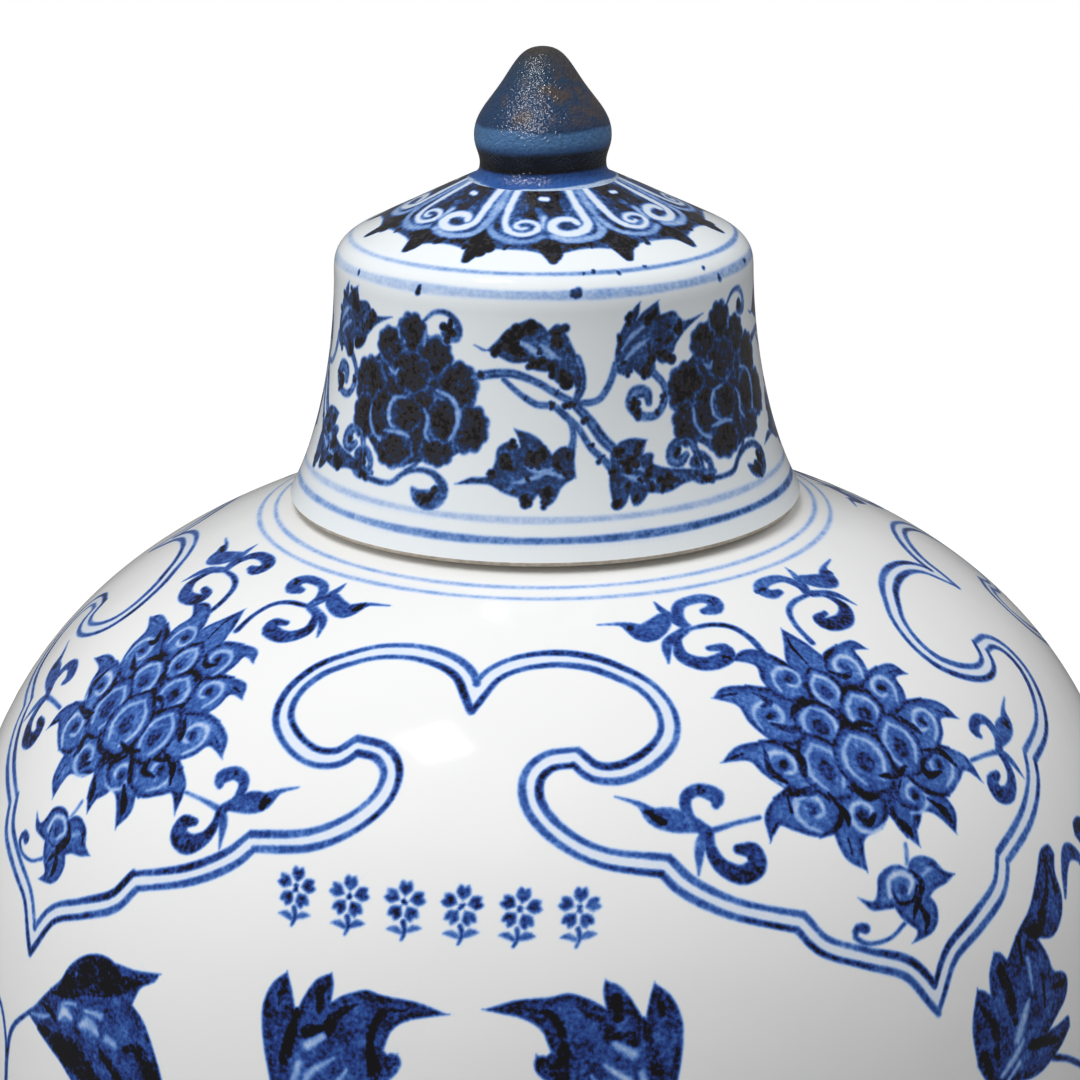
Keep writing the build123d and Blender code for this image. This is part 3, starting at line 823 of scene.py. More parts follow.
def paint_foot_panels(surface):
    """Upright panels with pointed tops, each with a scroll and a drop inside."""
    for number in range(PANEL_COUNT):
        centre = LOWER_TURN + 360 / PANEL_COUNT * number
        for points, width, tone in ((FOOT_PANEL, 1.9, DEEP), (FOOT_PANEL_INSIDE, 1.1, BLUE)):
            for side in (-1, 1):
                across, level = smooth_curve([(u * PANEL_HALF_WIDTH, v) for u, v in points]).T
                angle = np.radians(centre + side * across / PANEL_HALF_WIDTH * PANEL_HALF)
                surface.trace(np.stack([angle, level], axis=1), np.full(len(level), width), tone)
        home = Spot(centre)
        for mirrored in (False, True):
            surface.stroke(Spot(centre, mirror=mirrored), FOOT_BUD, (1.4, 2.4, 3.0, 3.2, 1.6), DEEP)
        surface.fill(home, FOOT_DROP, BLUE, rim=DEEP, rim_width=1.5)
        surface.stroke(home, ((0, 418), (0, 404)), (4.4, 1.0), DEEP)
        surface.stroke(home, ((0, 496), (-4, 512), (0, 530), (4, 512), (0, 496)), 1.6, BLUE)
        surface.stroke(home, ((0, 538), (0, 550)), (3.2, 1.2), DEEP)


def paint_body(surface):
    paint_rings(surface, NECK_RINGS, 1.4, 0.27)
    paint_collar(surface)
    for angle in LAPPET_ANGLES:
        paint_lotus(surface, Spot(angle))
        for x, level, turn, size, mirrored in UPPER_SPRIGS:
            paint_sprig(surface, Spot(angle, x, level, turn, size, mirrored), UPPER_SPRIG)
        for x, level, turn, size, mirrored in SIDE_SPRIGS:
            paint_sprig(surface, Spot(angle, x, level, turn, size, mirrored), SIDE_SPRIG)
        paint_low_sprig(surface, angle)
    paint_small_blossoms(surface, HEAD_ANGLES[0])
    paint_frieze(surface)
    paint_scrolls(surface)
    paint_rings(surface, FRIEZE_RINGS, 2.0, BLUE)
    paint_foot_panels(surface)
    paint_rings(surface, FOOT_RINGS, 2.0, BLUE)


# --- Decoration of the lid ------------------------------------------------------------

PEONY_ANGLES = [-37 + 90 * k for k in range(4)]  # degrees
STEM_ANGLES = [8 + 90 * k for k in range(4)]
PANEL_ANGLES = [360 / 7 * k for k in range(7)]
FIELD_TOP = 106.0  # mm up from the rim, just past the knob's foot
# level, width, tone, extra tone towards the right front as painted shade of the lid's shaded side
LID_RINGS = ((5.5, 1.9, 0.19, 0.34), (10.6, 1.7, 0.16, 0.06), (65.8, 2.5, 0.12, 0.14),
             (71.8, 1.4, 0.14, 0.24))

# Grains of glaze stuck to the crown: angle in degrees, level, radius.
FRITS = (
    (8, 66.2, 1.5), (11, 71.6, 0.4), (14, 72, 0.5), (21, 71.2, 0.6), (30, 72.2, 0.45), (-35, 65.4, 0.9),
    (54, 65.2, 1.0), (49, 68.5, 0.4), (72, 66, 0.7), (96, 64.8, 0.6), (150, 68, 0.8), (205, 65.2, 0.7),
    (262, 70.4, 0.6), (300, 66, 0.5),
)

# Lobes of a peony from the back ones to the front ones: x, level, half width, half height.
PEONY_LOBES = (
    (0, 54, 4.6, 5.2), (-6.5, 50, 4.8, 4.8), (7, 49, 5.2, 5.2), (-14, 39.5, 6.2, 6.8),
    (-15, 30.5, 4.7, 5.8), (14, 42, 5.2, 6.2), (18, 32.5, 5, 6), (0.5, 44.5, 6.2, 5.2),
    (-3, 24.5, 6.2, 4.8), (10, 26.5, 4.8, 4.2), (-8, 33, 5, 6.2), (10.5, 34, 4.4, 5.6),
    (-0.5, 34, 4.6, 4.8),
)
LOBE_POINTS = 36
LOBE_SCALLOPS = 9
SCALLOP_DEPTH = 0.13  # share of a lobe's radius
PEONY_TONE = 0.89
PEONY_BULK = (
    (0, 57), (6, 52), (13, 46), (18, 37), (18, 28), (10, 24), (-3, 21), (-13, 26), (-18, 33), (-17, 42),
    (-9, 49), (-4, 55),
)
PEONY_LIGHTS = (
    ((-1, 38), (-4.5, 37.2), (-6, 34), (-5.4, 31), (-3.5, 29.5)),
    ((5, 36), (6.4, 33.5), (6, 30), (7.5, 28)),
    ((8.5, 40.8), (12.5, 39.5), (14.6, 36), (14.4, 32), (13, 29)),
    ((-12.6, 34), (-12.8, 31), (-11, 27.5), (-8, 26)),
    ((-7, 28.6), (-2, 29), (1.4, 28.4)),
    ((-4.4, 55.2), (-3.8, 52.6)),
    ((4.4, 55), (4, 51.5)),
    ((-7, 44.4), (-5, 43.4), (-4, 44.6)),
)
PEONY_TENDRILS = (
    # points, widths
    (((3.5, 57.5), (7, 60.3), (11, 60.2), (13.4, 57.4), (12.6, 55), (10.6, 55.4)),
     (0.9, 1.2, 1.5, 1.9, 3.2, 3.4)),
    (((-22, 19), (-17, 17.5), (-11, 16), (-3, 16), (1, 19), (5, 20.6), (9.5, 20.4), (13, 17.5),
      (12, 14.6), (9.4, 13.6), (6.5, 14.2), (4.6, 15.8)),
      (1.2, 1.3, 1.4, 1.4, 1.4, 1.5, 1.9, 2.8, 4.4, 4.8, 3.2, 1.2)),
    (((5, 23.5), (4, 21.5), (1.5, 19.8)), (1.2, 1.5, 1.0)),
    (((-11, 16), (-10.4, 20), (-13, 22.4), (-16, 20.8), (-14, 19.4)), (2.6, 2.2, 2.6, 2.6, 1.6)),
    (((-17, 17.3), (-14.5, 16.4), (-11.5, 16.2)), (1.8, 2.4, 2.0)),
)
PEONY_DOTS = ((11, 56, 1.5), (-12.3, 16.2, 1.3), (-13.8, 20.6, 1.4), (9, 13.6, 1.5), (11, 16, 1.3),
              (7, 14, 1.0))

STEMS = (
    # points, widths
    (((-26, 45), (-22, 46), (-16, 46.5), (-10, 44.5), (-5, 41.5), (-1, 39), (3, 34.5), (6, 30),
      (9.5, 26.5)),
     (2.2, 1.9, 1.8, 2.0, 2.4, 2.6)),
    (((-18, 45), (-14, 41.5), (-10, 39), (-6, 38.5), (-3, 36), (0, 33), (3, 28), (6, 25), (8, 22.5)),
     (1.0, 1.5, 1.8, 1.6, 1.8)),
    (((0, 39), (5, 39.5), (8, 43), (10, 48)), (1.5, 1.8, 2.0)),
    (((-5, 38), (-2, 35), (-1.2, 31), (-2, 28), (-4, 25.5)), (1.6, 1.5, 1.8, 2.4)),
    (((-0.5, 39.5), (1, 43), (0.8, 47), (0, 50)), (1.6, 2.4, 2.2)),
)
STEM_DOTS = (
    (-1.8, 38.6, 1.0), (-6.2, 38.6, 0.9), (1.8, 35, 0.9), (-23.5, 45.6, 0.8), (-12.7, 40.6, 0.5),
    (-5, 41.6, 0.6), (5.5, 25, 0.8), (3, 28.6, 0.6), (-8.6, 43.6, 0.6),
)
# Each leaf: outline curves, pale veins, dark heaps of pigment as (x, level, radius).
LID_LEAVES = (
    ((((-25, 53), (-22.5, 51.8), (-19.5, 54.4), (-16.5, 57.6), (-11.5, 60)),
      ((-11.5, 60), (-8.5, 58.8), (-7, 57)),
      ((-7, 57), (-4.3, 58.8), (-2, 55.5), (0.3, 50), (1.6, 45)), ((1.6, 45), (0.6, 41.5), (-0.8, 44)),
      ((-0.8, 44), (-2.4, 43.6), (-4.8, 44.2), (-7, 47)), ((-7, 47), (-10, 47.4), (-12, 49.4)),
      ((-12, 49.4), (-16, 49.2), (-20.5, 51.4), (-25, 53))),
     (((-15.5, 55), (-12, 53.4), (-9.5, 51.4), (-6, 50.3)), ((-8.5, 53.6), (-6.5, 51.6), (-4, 50))),
     ((-12.5, 57, 2.1), (-16, 53.5, 2.0), (-19, 52.6, 1.4), (-4.2, 57, 1.4), (-5, 54, 1.6), (-3, 45.6, 2.2),
      (-6, 47.6, 1.4), (-10, 49, 1.6), (-1.8, 52, 1.0), (-9, 52.2, 0.9), (-14, 51.6, 1.4))),
    ((((10, 46), (9.8, 50.5), (11.4, 56), (14.5, 61), (16.5, 62.8)),
      ((16.5, 62.8), (16.2, 60), (15.6, 58.6)),
      ((15.6, 58.6), (17.5, 60.4), (21.6, 62.6)), ((21.6, 62.6), (22, 60), (22.4, 59)),
      ((22.4, 59), (26.5, 59.4), (29.5, 56.6), (36, 57.2)), ((36, 57.2), (30.5, 54.4), (27, 51.2)),
      ((27, 51.2), (25.6, 48.4), (22.8, 46.8), (20.2, 49)),
      ((20.2, 49), (20.6, 45.6), (18, 43.6), (14.5, 46.4)),
      ((14.5, 46.4), (12, 45.2), (10, 46))),
     (((11.6, 51.5), (14, 54.4), (17.5, 56.6)), ((12, 48.6), (15, 51.4), (18, 53))),
     ((13.6, 58.6, 1.2), (19.8, 59, 1.7), (28, 55.4, 2.1), (23.4, 48.6, 1.7), (18.6, 46.4, 1.8),
      (25, 52.6, 1.0),
      (13, 45.8, 0.9), (11, 54.4, 0.9), (21.6, 52.8, 1.1), (19, 51, 0.9), (24.5, 56, 0.8),
      (12, 48.2, 0.8))),
    ((((-31, 18.5), (-27, 20.4), (-23.5, 20.8), (-21, 24), (-20, 28), (-17.2, 29.8)),
      ((-17.2, 29.8), (-15.6, 28.6), (-14.4, 28.4), (-14.6, 30.4), (-15.6, 32.8)),
      ((-15.6, 32.8), (-11, 31.4), (-8, 28.6), (-6.6, 26.6)), ((-6.6, 26.6), (-4.4, 28.4), (-0.8, 28.4)),
      ((-0.8, 28.4), (-1.2, 25), (-1, 21)), ((-1, 21), (-4.4, 18.8), (-6.4, 15.4), (-8.4, 13.8)),
      ((-8.4, 13.8), (-10, 16), (-10.4, 17)), ((-10.4, 17), (-12.6, 14.6), (-14.6, 13.9), (-15.4, 16)),
      ((-15.4, 16), (-19, 17), (-23, 19), (-31, 18.5))),
     (((-16.5, 19.6), (-13, 20.4), (-9, 22), (-5, 24.4)), ((-13.5, 24), (-11, 22.6), (-8, 22.4), (-4, 21))),
     ((-17.6, 24.4, 2.1), (-11, 25, 1.9), (-8.8, 27.2, 1.7), (-22, 21.2, 1.0), (-16.6, 28.6, 1.0),
      (-8, 17, 1.5),
      (-13.6, 15.6, 1.4), (-5.4, 23.8, 0.9), (-13, 20.8, 0.8), (-16.6, 17.6, 0.9), (-8.6, 14.8, 0.9),
      (-3, 26.4, 0.8), (-3.4, 21.4, 0.8))),
    ((((8, 27), (10.6, 28.8), (14, 29.4), (17.6, 28.6)), ((17.6, 28.6), (17, 26.6), (16.6, 25.2)),
      ((16.6, 25.2), (18.6, 25.4), (19.6, 24.4), (19.2, 22.6), (23, 21), (28, 20), (34, 19)),
      ((34, 19), (35, 17.2), (32, 16.6)), ((32, 16.6), (28, 16.4), (23, 15), (17.6, 15.6)),
      ((17.6, 15.6), (15.4, 13.2), (13.4, 12.9), (12.4, 15.6)),
      ((12.4, 15.6), (11.2, 13.4), (9.2, 12.2), (8, 14)),
      ((8, 14), (7.4, 18), (7.6, 22), (8, 27))),
     (((10.4, 21), (13.4, 19.8), (16.6, 18.6), (20, 18)), ((10.6, 22.8), (14, 22.6), (17, 21))),
     ((9.4, 14, 1.4), (14, 14.4, 1.1), (18, 20.4, 1.9), (22.6, 17.2, 1.8), (12.6, 23.4, 1.8),
      (15.4, 26.8, 1.6),
      (10, 26, 1.3), (18.6, 16.8, 1.2), (8.6, 21.6, 0.8), (12, 17.4, 1.0), (25.4, 17.6, 1.0),
      (15.6, 18.8, 0.7))),
)
LEAF_CURLS = (
    (((20, 45), (23, 41.6), (23.4, 38.4), (21, 34.6), (16.6, 34.6), (13.8, 37.6), (15, 40.6),
      (18, 40.2), (18.6, 37.6)),
     (2.0, 1.7, 2.0, 1.8, 2.8, 3.8, 3.2, 1.8)),
    (((34, 18.5), (33, 22), (31, 26), (28.4, 27.2), (25, 25.5), (24.8, 22.8), (27.2, 22), (29.2, 23.2)),
     (2.6, 2.2, 2.2, 2.4, 3.4, 3.4, 2.0)),
    (((33.8, 18.4), (36, 17.6), (38.5, 17.4)), (2.2, 1.8, 1.4)),
)
CURL_DOTS = ((23, 38.6, 0.9), (15.6, 35.6, 1.5), (21, 34.8, 0.7), (14.4, 38, 1.3), (31.8, 18.2, 0.8),
             (26.4, 24, 1.0))


def paint_dots(surface, spot, dots, tone=BLACK):
    """Uneven heaps of pigment, each (x, level, radius)."""
    for x, level, radius in dots:
        for drift in RANDOM.normal(0, radius * 0.5, (3, 2)):
            ends = ((x - drift[0], level - drift[1]), (x + drift[0], level + drift[1] + 0.1))
            surface.stroke(spot, ends, (0.9 * radius, 1.5 * radius), tone)


def lobe(x, level, wide, tall):
    """A round outline with a scalloped edge."""
    turns = np.linspace(0, TURN, LOBE_POINTS, endpoint=False)
    scallops = np.abs(np.sin(turns * LOBE_SCALLOPS / 2 + x))
    swell = 0.97 + SCALLOP_DEPTH * scallops - 0.05 * np.sin(turns + level)
    return [(x + wide * k * math.sin(a), level + tall * k * math.cos(a)) for a, k in zip(turns, swell)]


def paint_peony(surface, angle):
    """A heavy round blossom, nearly black, with blue edges between its lobes."""
    spot = Spot(angle)
    surface.fill(spot, (PEONY_BULK,), DEEP)
    for x, level, wide, tall in PEONY_LOBES:
        surface.fill(spot, (lobe(x, level, wide, tall),), PEONY_TONE, rim=0.56, rim_width=1.1, over=True)
    for points in PEONY_LIGHTS:
        surface.stroke(spot, points, (0.8, 1.7, 0.8), 0.55, over=True)
        surface.stroke(spot, points, (0.4, 1.0, 0.4), 0.3, over=True)
    for points, widths in PEONY_TENDRILS:
        surface.stroke(spot, points, widths, BLUE)
    paint_dots(surface, spot, PEONY_DOTS)


def paint_lid_leaves(surface, angle):
    """The crossing stems between two peonies and the four leaves that grow from them."""
    spot = Spot(angle)
    for points, widths in (*STEMS, *LEAF_CURLS):
        surface.stroke(spot, points, widths, BLUE + 0.04)
        surface.stroke(spot, points, 0.35 * np.array(widths), WASH, over=True)
    for curves, veins, heaps in LID_LEAVES:
        surface.fill(spot, curves, BLUE + 0.03, rim=BLUE + 0.14, rim_width=0.8)
        for points in veins:
            surface.stroke(spot, points, (0.5, 1.5, 0.5), 0.3, over=True)
        paint_dots(surface, spot, heaps, BLACK - 0.02)
    paint_dots(surface, spot, (*STEM_DOTS, *CURL_DOTS), BLACK - 0.05)


PANEL_EDGE = (
    ((-20.4, 78), (-18, 79.4), (-14, 80.8), (-9, 81.2), (-4, 80.8), (-1, 79.8), (1.6, 77.6)),
    ((1.6, 77.6), (4, 79.4), (8, 80.8), (12, 81.2), (16, 80.6), (18.6, 79.4), (20.4, 78)),
    ((20.4, 78), (9.2, FIELD_TOP)),
    ((9.2, FIELD_TOP), (-9.2, FIELD_TOP)),
    ((-9.2, FIELD_TOP), (-20.4, 78)),
)
# Heaps of pigment on a panel's field and on its points: x, level, radius.
PANEL_HEAPS = (
    (-17, 84.4, 2.6), (-13.4, 82.6, 1.6), (-19.5, 81, 1.4), (1.6, 83.2, 2.3), (-2, 82.8, 1.3),
    (8.6, 82.8, 1.6), (5.4, 83.6, 1.6), (19, 86, 2.6), (21.5, 81, 2.2), (16.6, 89.4, 1.5),
    (-22.4, 84.8, 1.5), (11.8, 82.6, 1.0), (-9.2, 82.2, 1.0), (15, 83.4, 1.0),
)
# Where the field runs down into dark points: points of a stroke.
PANEL_TIPS = (((18.6, 84), (20.4, 79.6), (21.6, 76)), ((1, 83), (2.2, 79.4), (2.2, 76.6)))
PANEL_BANDS = (
    # points, widths, tone
    (((-8.4, 106), (-12.2, 97), (-13.8, 91), (-12.8, 87), (-9, 84.8), (-4, 84.6), (-0.6, 86.4)), 1.4, 0.28),
    (((8.4, 106), (12.4, 97), (14.6, 90.4), (14.4, 86.6), (11, 85), (6, 85), (2.4, 86.6)), 1.7, 0.24),
    (((-6.4, 106), (-8.2, 100), (-9.4, 95), (-9.8, 91.4), (-8.6, 88.4), (-5.4, 87.2), (-2.2, 88.6),
      (-1.4, 91),
      (-3, 92.6), (-5.6, 92.6), (-7.2, 91), (-6, 89.6), (-4.6, 90)),
      (2.0, 1.9, 1.7, 1.4, 1.3, 1.1, 1.0), 0.02),
    (((6.2, 106), (8, 100), (10, 94.6), (11.2, 90.8), (9.4, 88.2), (6, 87.4), (2.8, 88.8), (2, 91.4),
      (4, 93.4),
      (7, 93.2), (8.6, 91.4)), (2.0, 2.0, 2.2, 2.3, 2.3, 2.5, 2.2, 1.5), 0.02),
    (((0, 94.4), (-0.2, 92), (-0.2, 90)), (1.6, 1.0, 0.5), 0.15),
)


BAND_MARGIN = 1.2  # mm by which the half tone beside a band is wider than the band


def paint_panels(surface):
    """Seven scrolled panels round the knob, reserved in white on a dark pointed field."""
    for angle in PANEL_ANGLES:
        spot = Spot(angle)
        surface.fill(spot, PANEL_EDGE, BLUE + 0.08, rim=BLUE, rim_width=1.0)
        paint_dots(surface, spot, PANEL_HEAPS)
        for points in PANEL_TIPS:
            surface.stroke(spot, points, (6, 4.6, 2.2), BLACK - 0.03)
        surface.stroke(spot, ((0, 106), (-0.2, 99), (0, 94.6)), (8.4, 8.6, 11), 0.9)
        surface.stroke(spot, ((-1.4, 97.6), (-0.6, 95)), (2.6, 2.2), BLUE - 0.05, over=True)
        surface.stroke(spot, ((-4, 100), (-4.4, 97)), (1.2, 1.0), BLUE, over=True)
    for angle in PANEL_ANGLES:
        spot = Spot(angle)
        for points, widths, _ in PANEL_BANDS:
            surface.stroke(spot, points, np.array(widths) + BAND_MARGIN, 0.5, over=True)
        for points, widths, tone in PANEL_BANDS:
            surface.stroke(spot, points, widths, tone + 0.03, over=True)
        surface.stroke(spot, ((-0.5, 102.2), (0.7, 102)), 1.9, 0.02, over=True)


def paint_frits(surface):
    """Small burnt grains of glaze that settled on the lid's crown."""
    for angle, level, radius in FRITS:
        paint_dots(surface, Spot(angle), ((0, level, radius),), BLACK - 0.06)


def paint_lid(surface):
    # Each ring's extra tone is painted shade, heaviest on the lid's shaded right front.
    for level, width, tone, load in LID_RINGS:
        paint_rings(surface, [level], width, tone, load)
    paint_frits(surface)
    paint_panels(surface)
    for angle in PEONY_ANGLES:
        paint_peony(surface, angle)
    for angle in STEM_ANGLES:
        paint_lid_leaves(surface, angle)


# --- Painting the pieces --------------------------------------------------------------

BODY_COLUMNS = 2560  # cells round the shoulder
FOOT_COLUMNS = 1280  # cells round the plainer lower body
LID_COLUMNS = 1280
SHOULDER_CELL = 0.4  # mm
BELLY_CELL = 0.8
LID_CELL = 0.35

runs_of = {node: outline_runs(node) for node in frame["nodes"]}


def outer_run(node):
    """The painted outside of a node: the run of its outline that climbs the most."""
    return max(runs_of[node], key=lambda run: run.points[-1, 1] - run.points[0, 1])


def sheet_below(node, columns, cell, top_level):
    """A sheet on a node of the body, whose levels count downwards from its top edge."""
    run = outer_run(node)
    return Sheet(run, columns, cell, top_level + run.length, -1)


shoulder_sheet = sheet_below("shoulder_section", BODY_COLUMNS, SHOULDER_CELL, 0.0)
belly_sheet = sheet_below("belly_section", FOOT_COLUMNS, BELLY_CELL, shoulder_sheet.level[0])
base_sheet = sheet_below("base_section", FOOT_COLUMNS, BELLY_CELL, belly_sheet.level[0])
lid_sheet = Sheet(outer_run("lid_bell"), LID_COLUMNS, LID_CELL, 0.0, 1)

body = Surface(shoulder_sheet, belly_sheet, base_sheet)
lid = Surface(lid_sheet)
paint_body(body)
paint_lid(lid)


# --- Meshes: fine turned surfaces that carry the ink ----------------------------------

TONE_STEP = 0.07  # a face is divided until the ink inside it varies less than this
ROW_STEP = 2.5  # mm between the rows of an unpainted run
NARROW_COLUMNS = 112 * BLOCK
GROUND_MATERIAL = 1  # material slot of the unglazed faces


def square_leaves(ink):
    """Squares of a sheet's grid, divided until each holds one tone: (height, width, corners)."""
    wrapped = np.hstack([ink, ink[:, :1]])
    cells = np.stack([wrapped[:-1, :-1], wrapped[:-1, 1:], wrapped[1:, :-1], wrapped[1:, 1:]])
    low, high = cells.min(axis=0), cells.max(axis=0)
    spans = {1: high - low}
    size = 1
    while size < BLOCK:
        quads = (low.shape[0] // 2, 2, low.shape[1] // 2, 2)
        low, high = low.reshape(quads).min(axis=(1, 3)), high.reshape(quads).max(axis=(1, 3))
        size *= 2
        spans[size] = high - low
    waiting = np.ones(spans[BLOCK].shape, bool)
    leaves = []
    while size:
        done = waiting & ((spans[size] <= TONE_STEP) | (size == 1))
        leaves.append((size, size, np.argwhere(done) * size))
        waiting = (waiting & ~done).repeat(2, axis=0).repeat(2, axis=1)
        size //= 2
    return leaves


def rim_steps(high, wide):
    """Grid steps round a face from its first corner, anticlockwise seen from outside."""
    right = [(0, k) for k in range(wide)]
    up = [(k, wide) for k in range(high)]
    left = [(high, k) for k in range(wide, 0, -1)]
    down = [(k, 0) for k in range(high, 0, -1)]
    return np.array(right + up + left + down)


class RunGrid:
    """The rings of one run of the outline, and the faces between them."""

    def __init__(self, run, sheet, columns):
        if sheet is not None and sheet.run is run:
            self.along, self.ink = sheet.along, sheet.ink
            self.leaves = square_leaves(sheet.ink)
        else:
            straight = len(run.points) == 2
            count = 1 if straight else max(2, math.ceil(run.length / ROW_STEP), len(run.points))
            self.along = np.linspace(0, run.length, count + 1)
            self.ink = None
            rows, blocks = np.mgrid[0:count, 0 : columns // BLOCK]
            corners = np.stack([rows.ravel(), blocks.ravel() * BLOCK], axis=1)
            self.leaves = [(1, BLOCK, corners)]
        self.places, self.normals = run.at(self.along)


def fanned(rows, across, kept, middles):
    """Triangles from the middle of each face to its rim, as (row, column) triples."""
    face, step = np.nonzero(kept)
    place = np.arange(len(face))
    first, last = np.searchsorted(face, face), np.searchsorted(face, face, side="right") - 1
    following = np.where(place == last, first, place + 1)
    rim = np.stack([rows[face, step], across[face, step]], axis=1)
    return np.stack([middles[face], rim, rim[following]], axis=1)


class Lattice:
    """The rings and columns of a whole piece, the points it uses and the faces between them."""

    def __init__(self, runs, sheet, columns):
        self.grids = [RunGrid(run, sheet, columns) for run in runs]
        self.starts = np.cumsum([0] + [len(grid.along) - 1 for grid in self.grids])
        self.rings = self.starts[-1] + (0 if closes(runs) else 1)
        self.columns = columns
        self.places = np.zeros((self.rings, 2))
        self.ink = np.zeros((self.rings, columns), np.float32)
        for grid, start in zip(self.grids, self.starts):
            rows = (start + np.arange(len(grid.along))) % self.rings
            self.places[rows] = grid.places
            if grid.ink is not None:
                self.ink[rows] = grid.ink
        self.poles = self.places[:, 0] < SEAM_TOLERANCE
        self.used = np.zeros((self.rings, columns), bool)
        self.mark_corners()
        self.fans = [
            [self.fan_points(start, *leaves) for leaves in grid.leaves]
            for grid, start in zip(self.grids, self.starts)
        ]
        self.mark_middles()
        self.ids = np.full(self.used.shape, -1)
        self.ids[self.used] = np.arange(self.used.sum())
        self.ids[self.poles] = self.ids[self.poles, :1]
        self.corner_ids, self.corner_normals, self.face_sizes, self.face_slots = [], [], [], []

    def wrap(self, start, rows, across):
        """Lattice places of the rows and columns of the run that starts at a ring."""
        return (start + rows) % self.rings, across % self.columns

    def mark_corners(self):
        """Marks the corners of every face as used, and one point for each pole."""
        for grid, start in zip(self.grids, self.starts):
            for high, wide, corners in grid.leaves:
                for down, across in ((0, 0), (high, 0), (0, wide), (high, wide)):
                    self.used[self.wrap(start, corners[:, 0] + down, corners[:, 1] + across)] = True
        self.used[self.poles] = False
        self.used[self.poles, 0] = True

    def fan_points(self, start, high, wide, corners):
        """Which faces have more than four points on their rim, and where each is fanned from."""
        steps = rim_steps(high, wide)
        rim = self.used[self.wrap(start, corners[:, :1] + steps[:, 0], corners[:, 1:] + steps[:, 1])]
        crowded = rim.sum(axis=1) > 4
        if high > 1:
            return crowded, corners + (high // 2, wide // 2)
        far_side = np.where(rim[:, 1:wide].any(axis=1), high, 0)
        return crowded, corners + np.stack([far_side, 0 * far_side], axis=1)

    def mark_middles(self):
        """Marks the points that the crowded faces are fanned from."""
        for start, choices in zip(self.starts, self.fans):
            for crowded, middles in choices:
                self.used[self.wrap(start, middles[crowded, 0], middles[crowded, 1])] = True
        self.used[self.poles, 1:] = False

    def vertices(self):
        """The used points in metres."""
        ring, column = np.nonzero(self.used)
        angle = column * TURN / self.columns
        radius, height = self.places[ring].T
        return np.stack([radius * np.sin(angle), -radius * np.cos(angle), height], axis=1) * MM

    def add_faces(self, grid, start, rows, across, kept, slot):
        """Adds one face for each line of rows and columns, with the points that are kept."""
        found = self.ids[self.wrap(start, rows, across)]
        kept = kept & (found >= 0) & (found != np.roll(found, 1, axis=1))
        kept[kept.sum(axis=1) < 3] = False
        turn = (across % self.columns)[kept] * TURN / self.columns
        out, rise = grid.normals[rows[kept]].T
        sizes = kept.sum(axis=1)
        self.corner_ids.append(found[kept])
        self.corner_normals.append(np.stack([out * np.sin(turn), -out * np.cos(turn), rise], axis=1))
        self.face_sizes.append(sizes[sizes > 0])
        self.face_slots.append(np.full((sizes > 0).sum(), slot))

    def add_run(self, number, slot):
        """Adds the faces of one run: whole where they can be, fanned where they are crowded."""
        grid, start = self.grids[number], self.starts[number]
        for (high, wide, corners), (crowded, middles) in zip(grid.leaves, self.fans[number]):
            steps = rim_steps(high, wide)
            rows = corners[:, :1] + steps[:, 0]
            across = corners[:, 1:] + steps[:, 1]
            place = self.wrap(start, rows, across)
            seen = self.used[place] | self.poles[place[0]]
            self.add_faces(grid, start, rows, across, seen & ~crowded[:, None], slot)
            triangles = fanned(rows, across, seen & crowded[:, None], middles)
            if len(triangles):
                whole = np.full(triangles.shape[:2], True)
                self.add_faces(grid, start, triangles[..., 0], triangles[..., 1], whole, slot)


def turned_mesh(name, runs, sheet, columns, ground_runs):
    """A closed mesh turned from the runs of an outline, with an ink value at each vertex."""
    lattice = Lattice(runs, sheet, columns)
    for number in range(len(runs)):
        lattice.add_run(number, GROUND_MATERIAL if number in ground_runs else 0)
    return build_mesh(
        name,
        lattice.vertices(),
        lattice.ink[lattice.used],
        np.concatenate(lattice.corner_ids),
        np.concatenate(lattice.corner_normals),
        np.concatenate(lattice.face_sizes),
        np.concatenate(lattice.face_slots),
    )


def closes(runs):
    """True if the outline comes back to its start instead of ending on the axis."""
    return bool(np.allclose(runs[0].points[0], runs[-1].points[-1]))


def build_mesh(name, vertices, ink, corner_ids, corner_normals, face_sizes, face_slots):
    """A Blender mesh from arrays of vertices and of the corners of its faces."""
    mesh = bpy.data.meshes.new(name)
    mesh.vertices.add(len(vertices))
    mesh.vertices.foreach_set("co", vertices.ravel())
    mesh.loops.add(len(corner_ids))
    mesh.loops.foreach_set("vertex_index", corner_ids.astype(np.int32))
    mesh.polygons.add(len(face_sizes))
    mesh.polygons.foreach_set("loop_start", np.r_[0, np.cumsum(face_sizes)[:-1]].astype(np.int32))
    mesh.polygons.foreach_set("material_index", face_slots.astype(np.int32))
    mesh.update(calc_edges=True)
    mesh.attributes.new("ink", "FLOAT", "POINT").data.foreach_set("value", ink.astype(np.float32))
    mesh.normals_split_custom_set(corner_normals)
    return mesh


# --- Materials ------------------------------------------------------------------------


def linear(code):
    """A colour code such as 2F55A8 as linear red, green, blue and alpha."""
    channels = [int(code[k : k + 2], 16) / 255 for k in (0, 2, 4)]
    return [c / 12.92 if c <= 0.04045 else ((c + 0.055) / 1.055) ** 2.4 for c in channels] + [1]


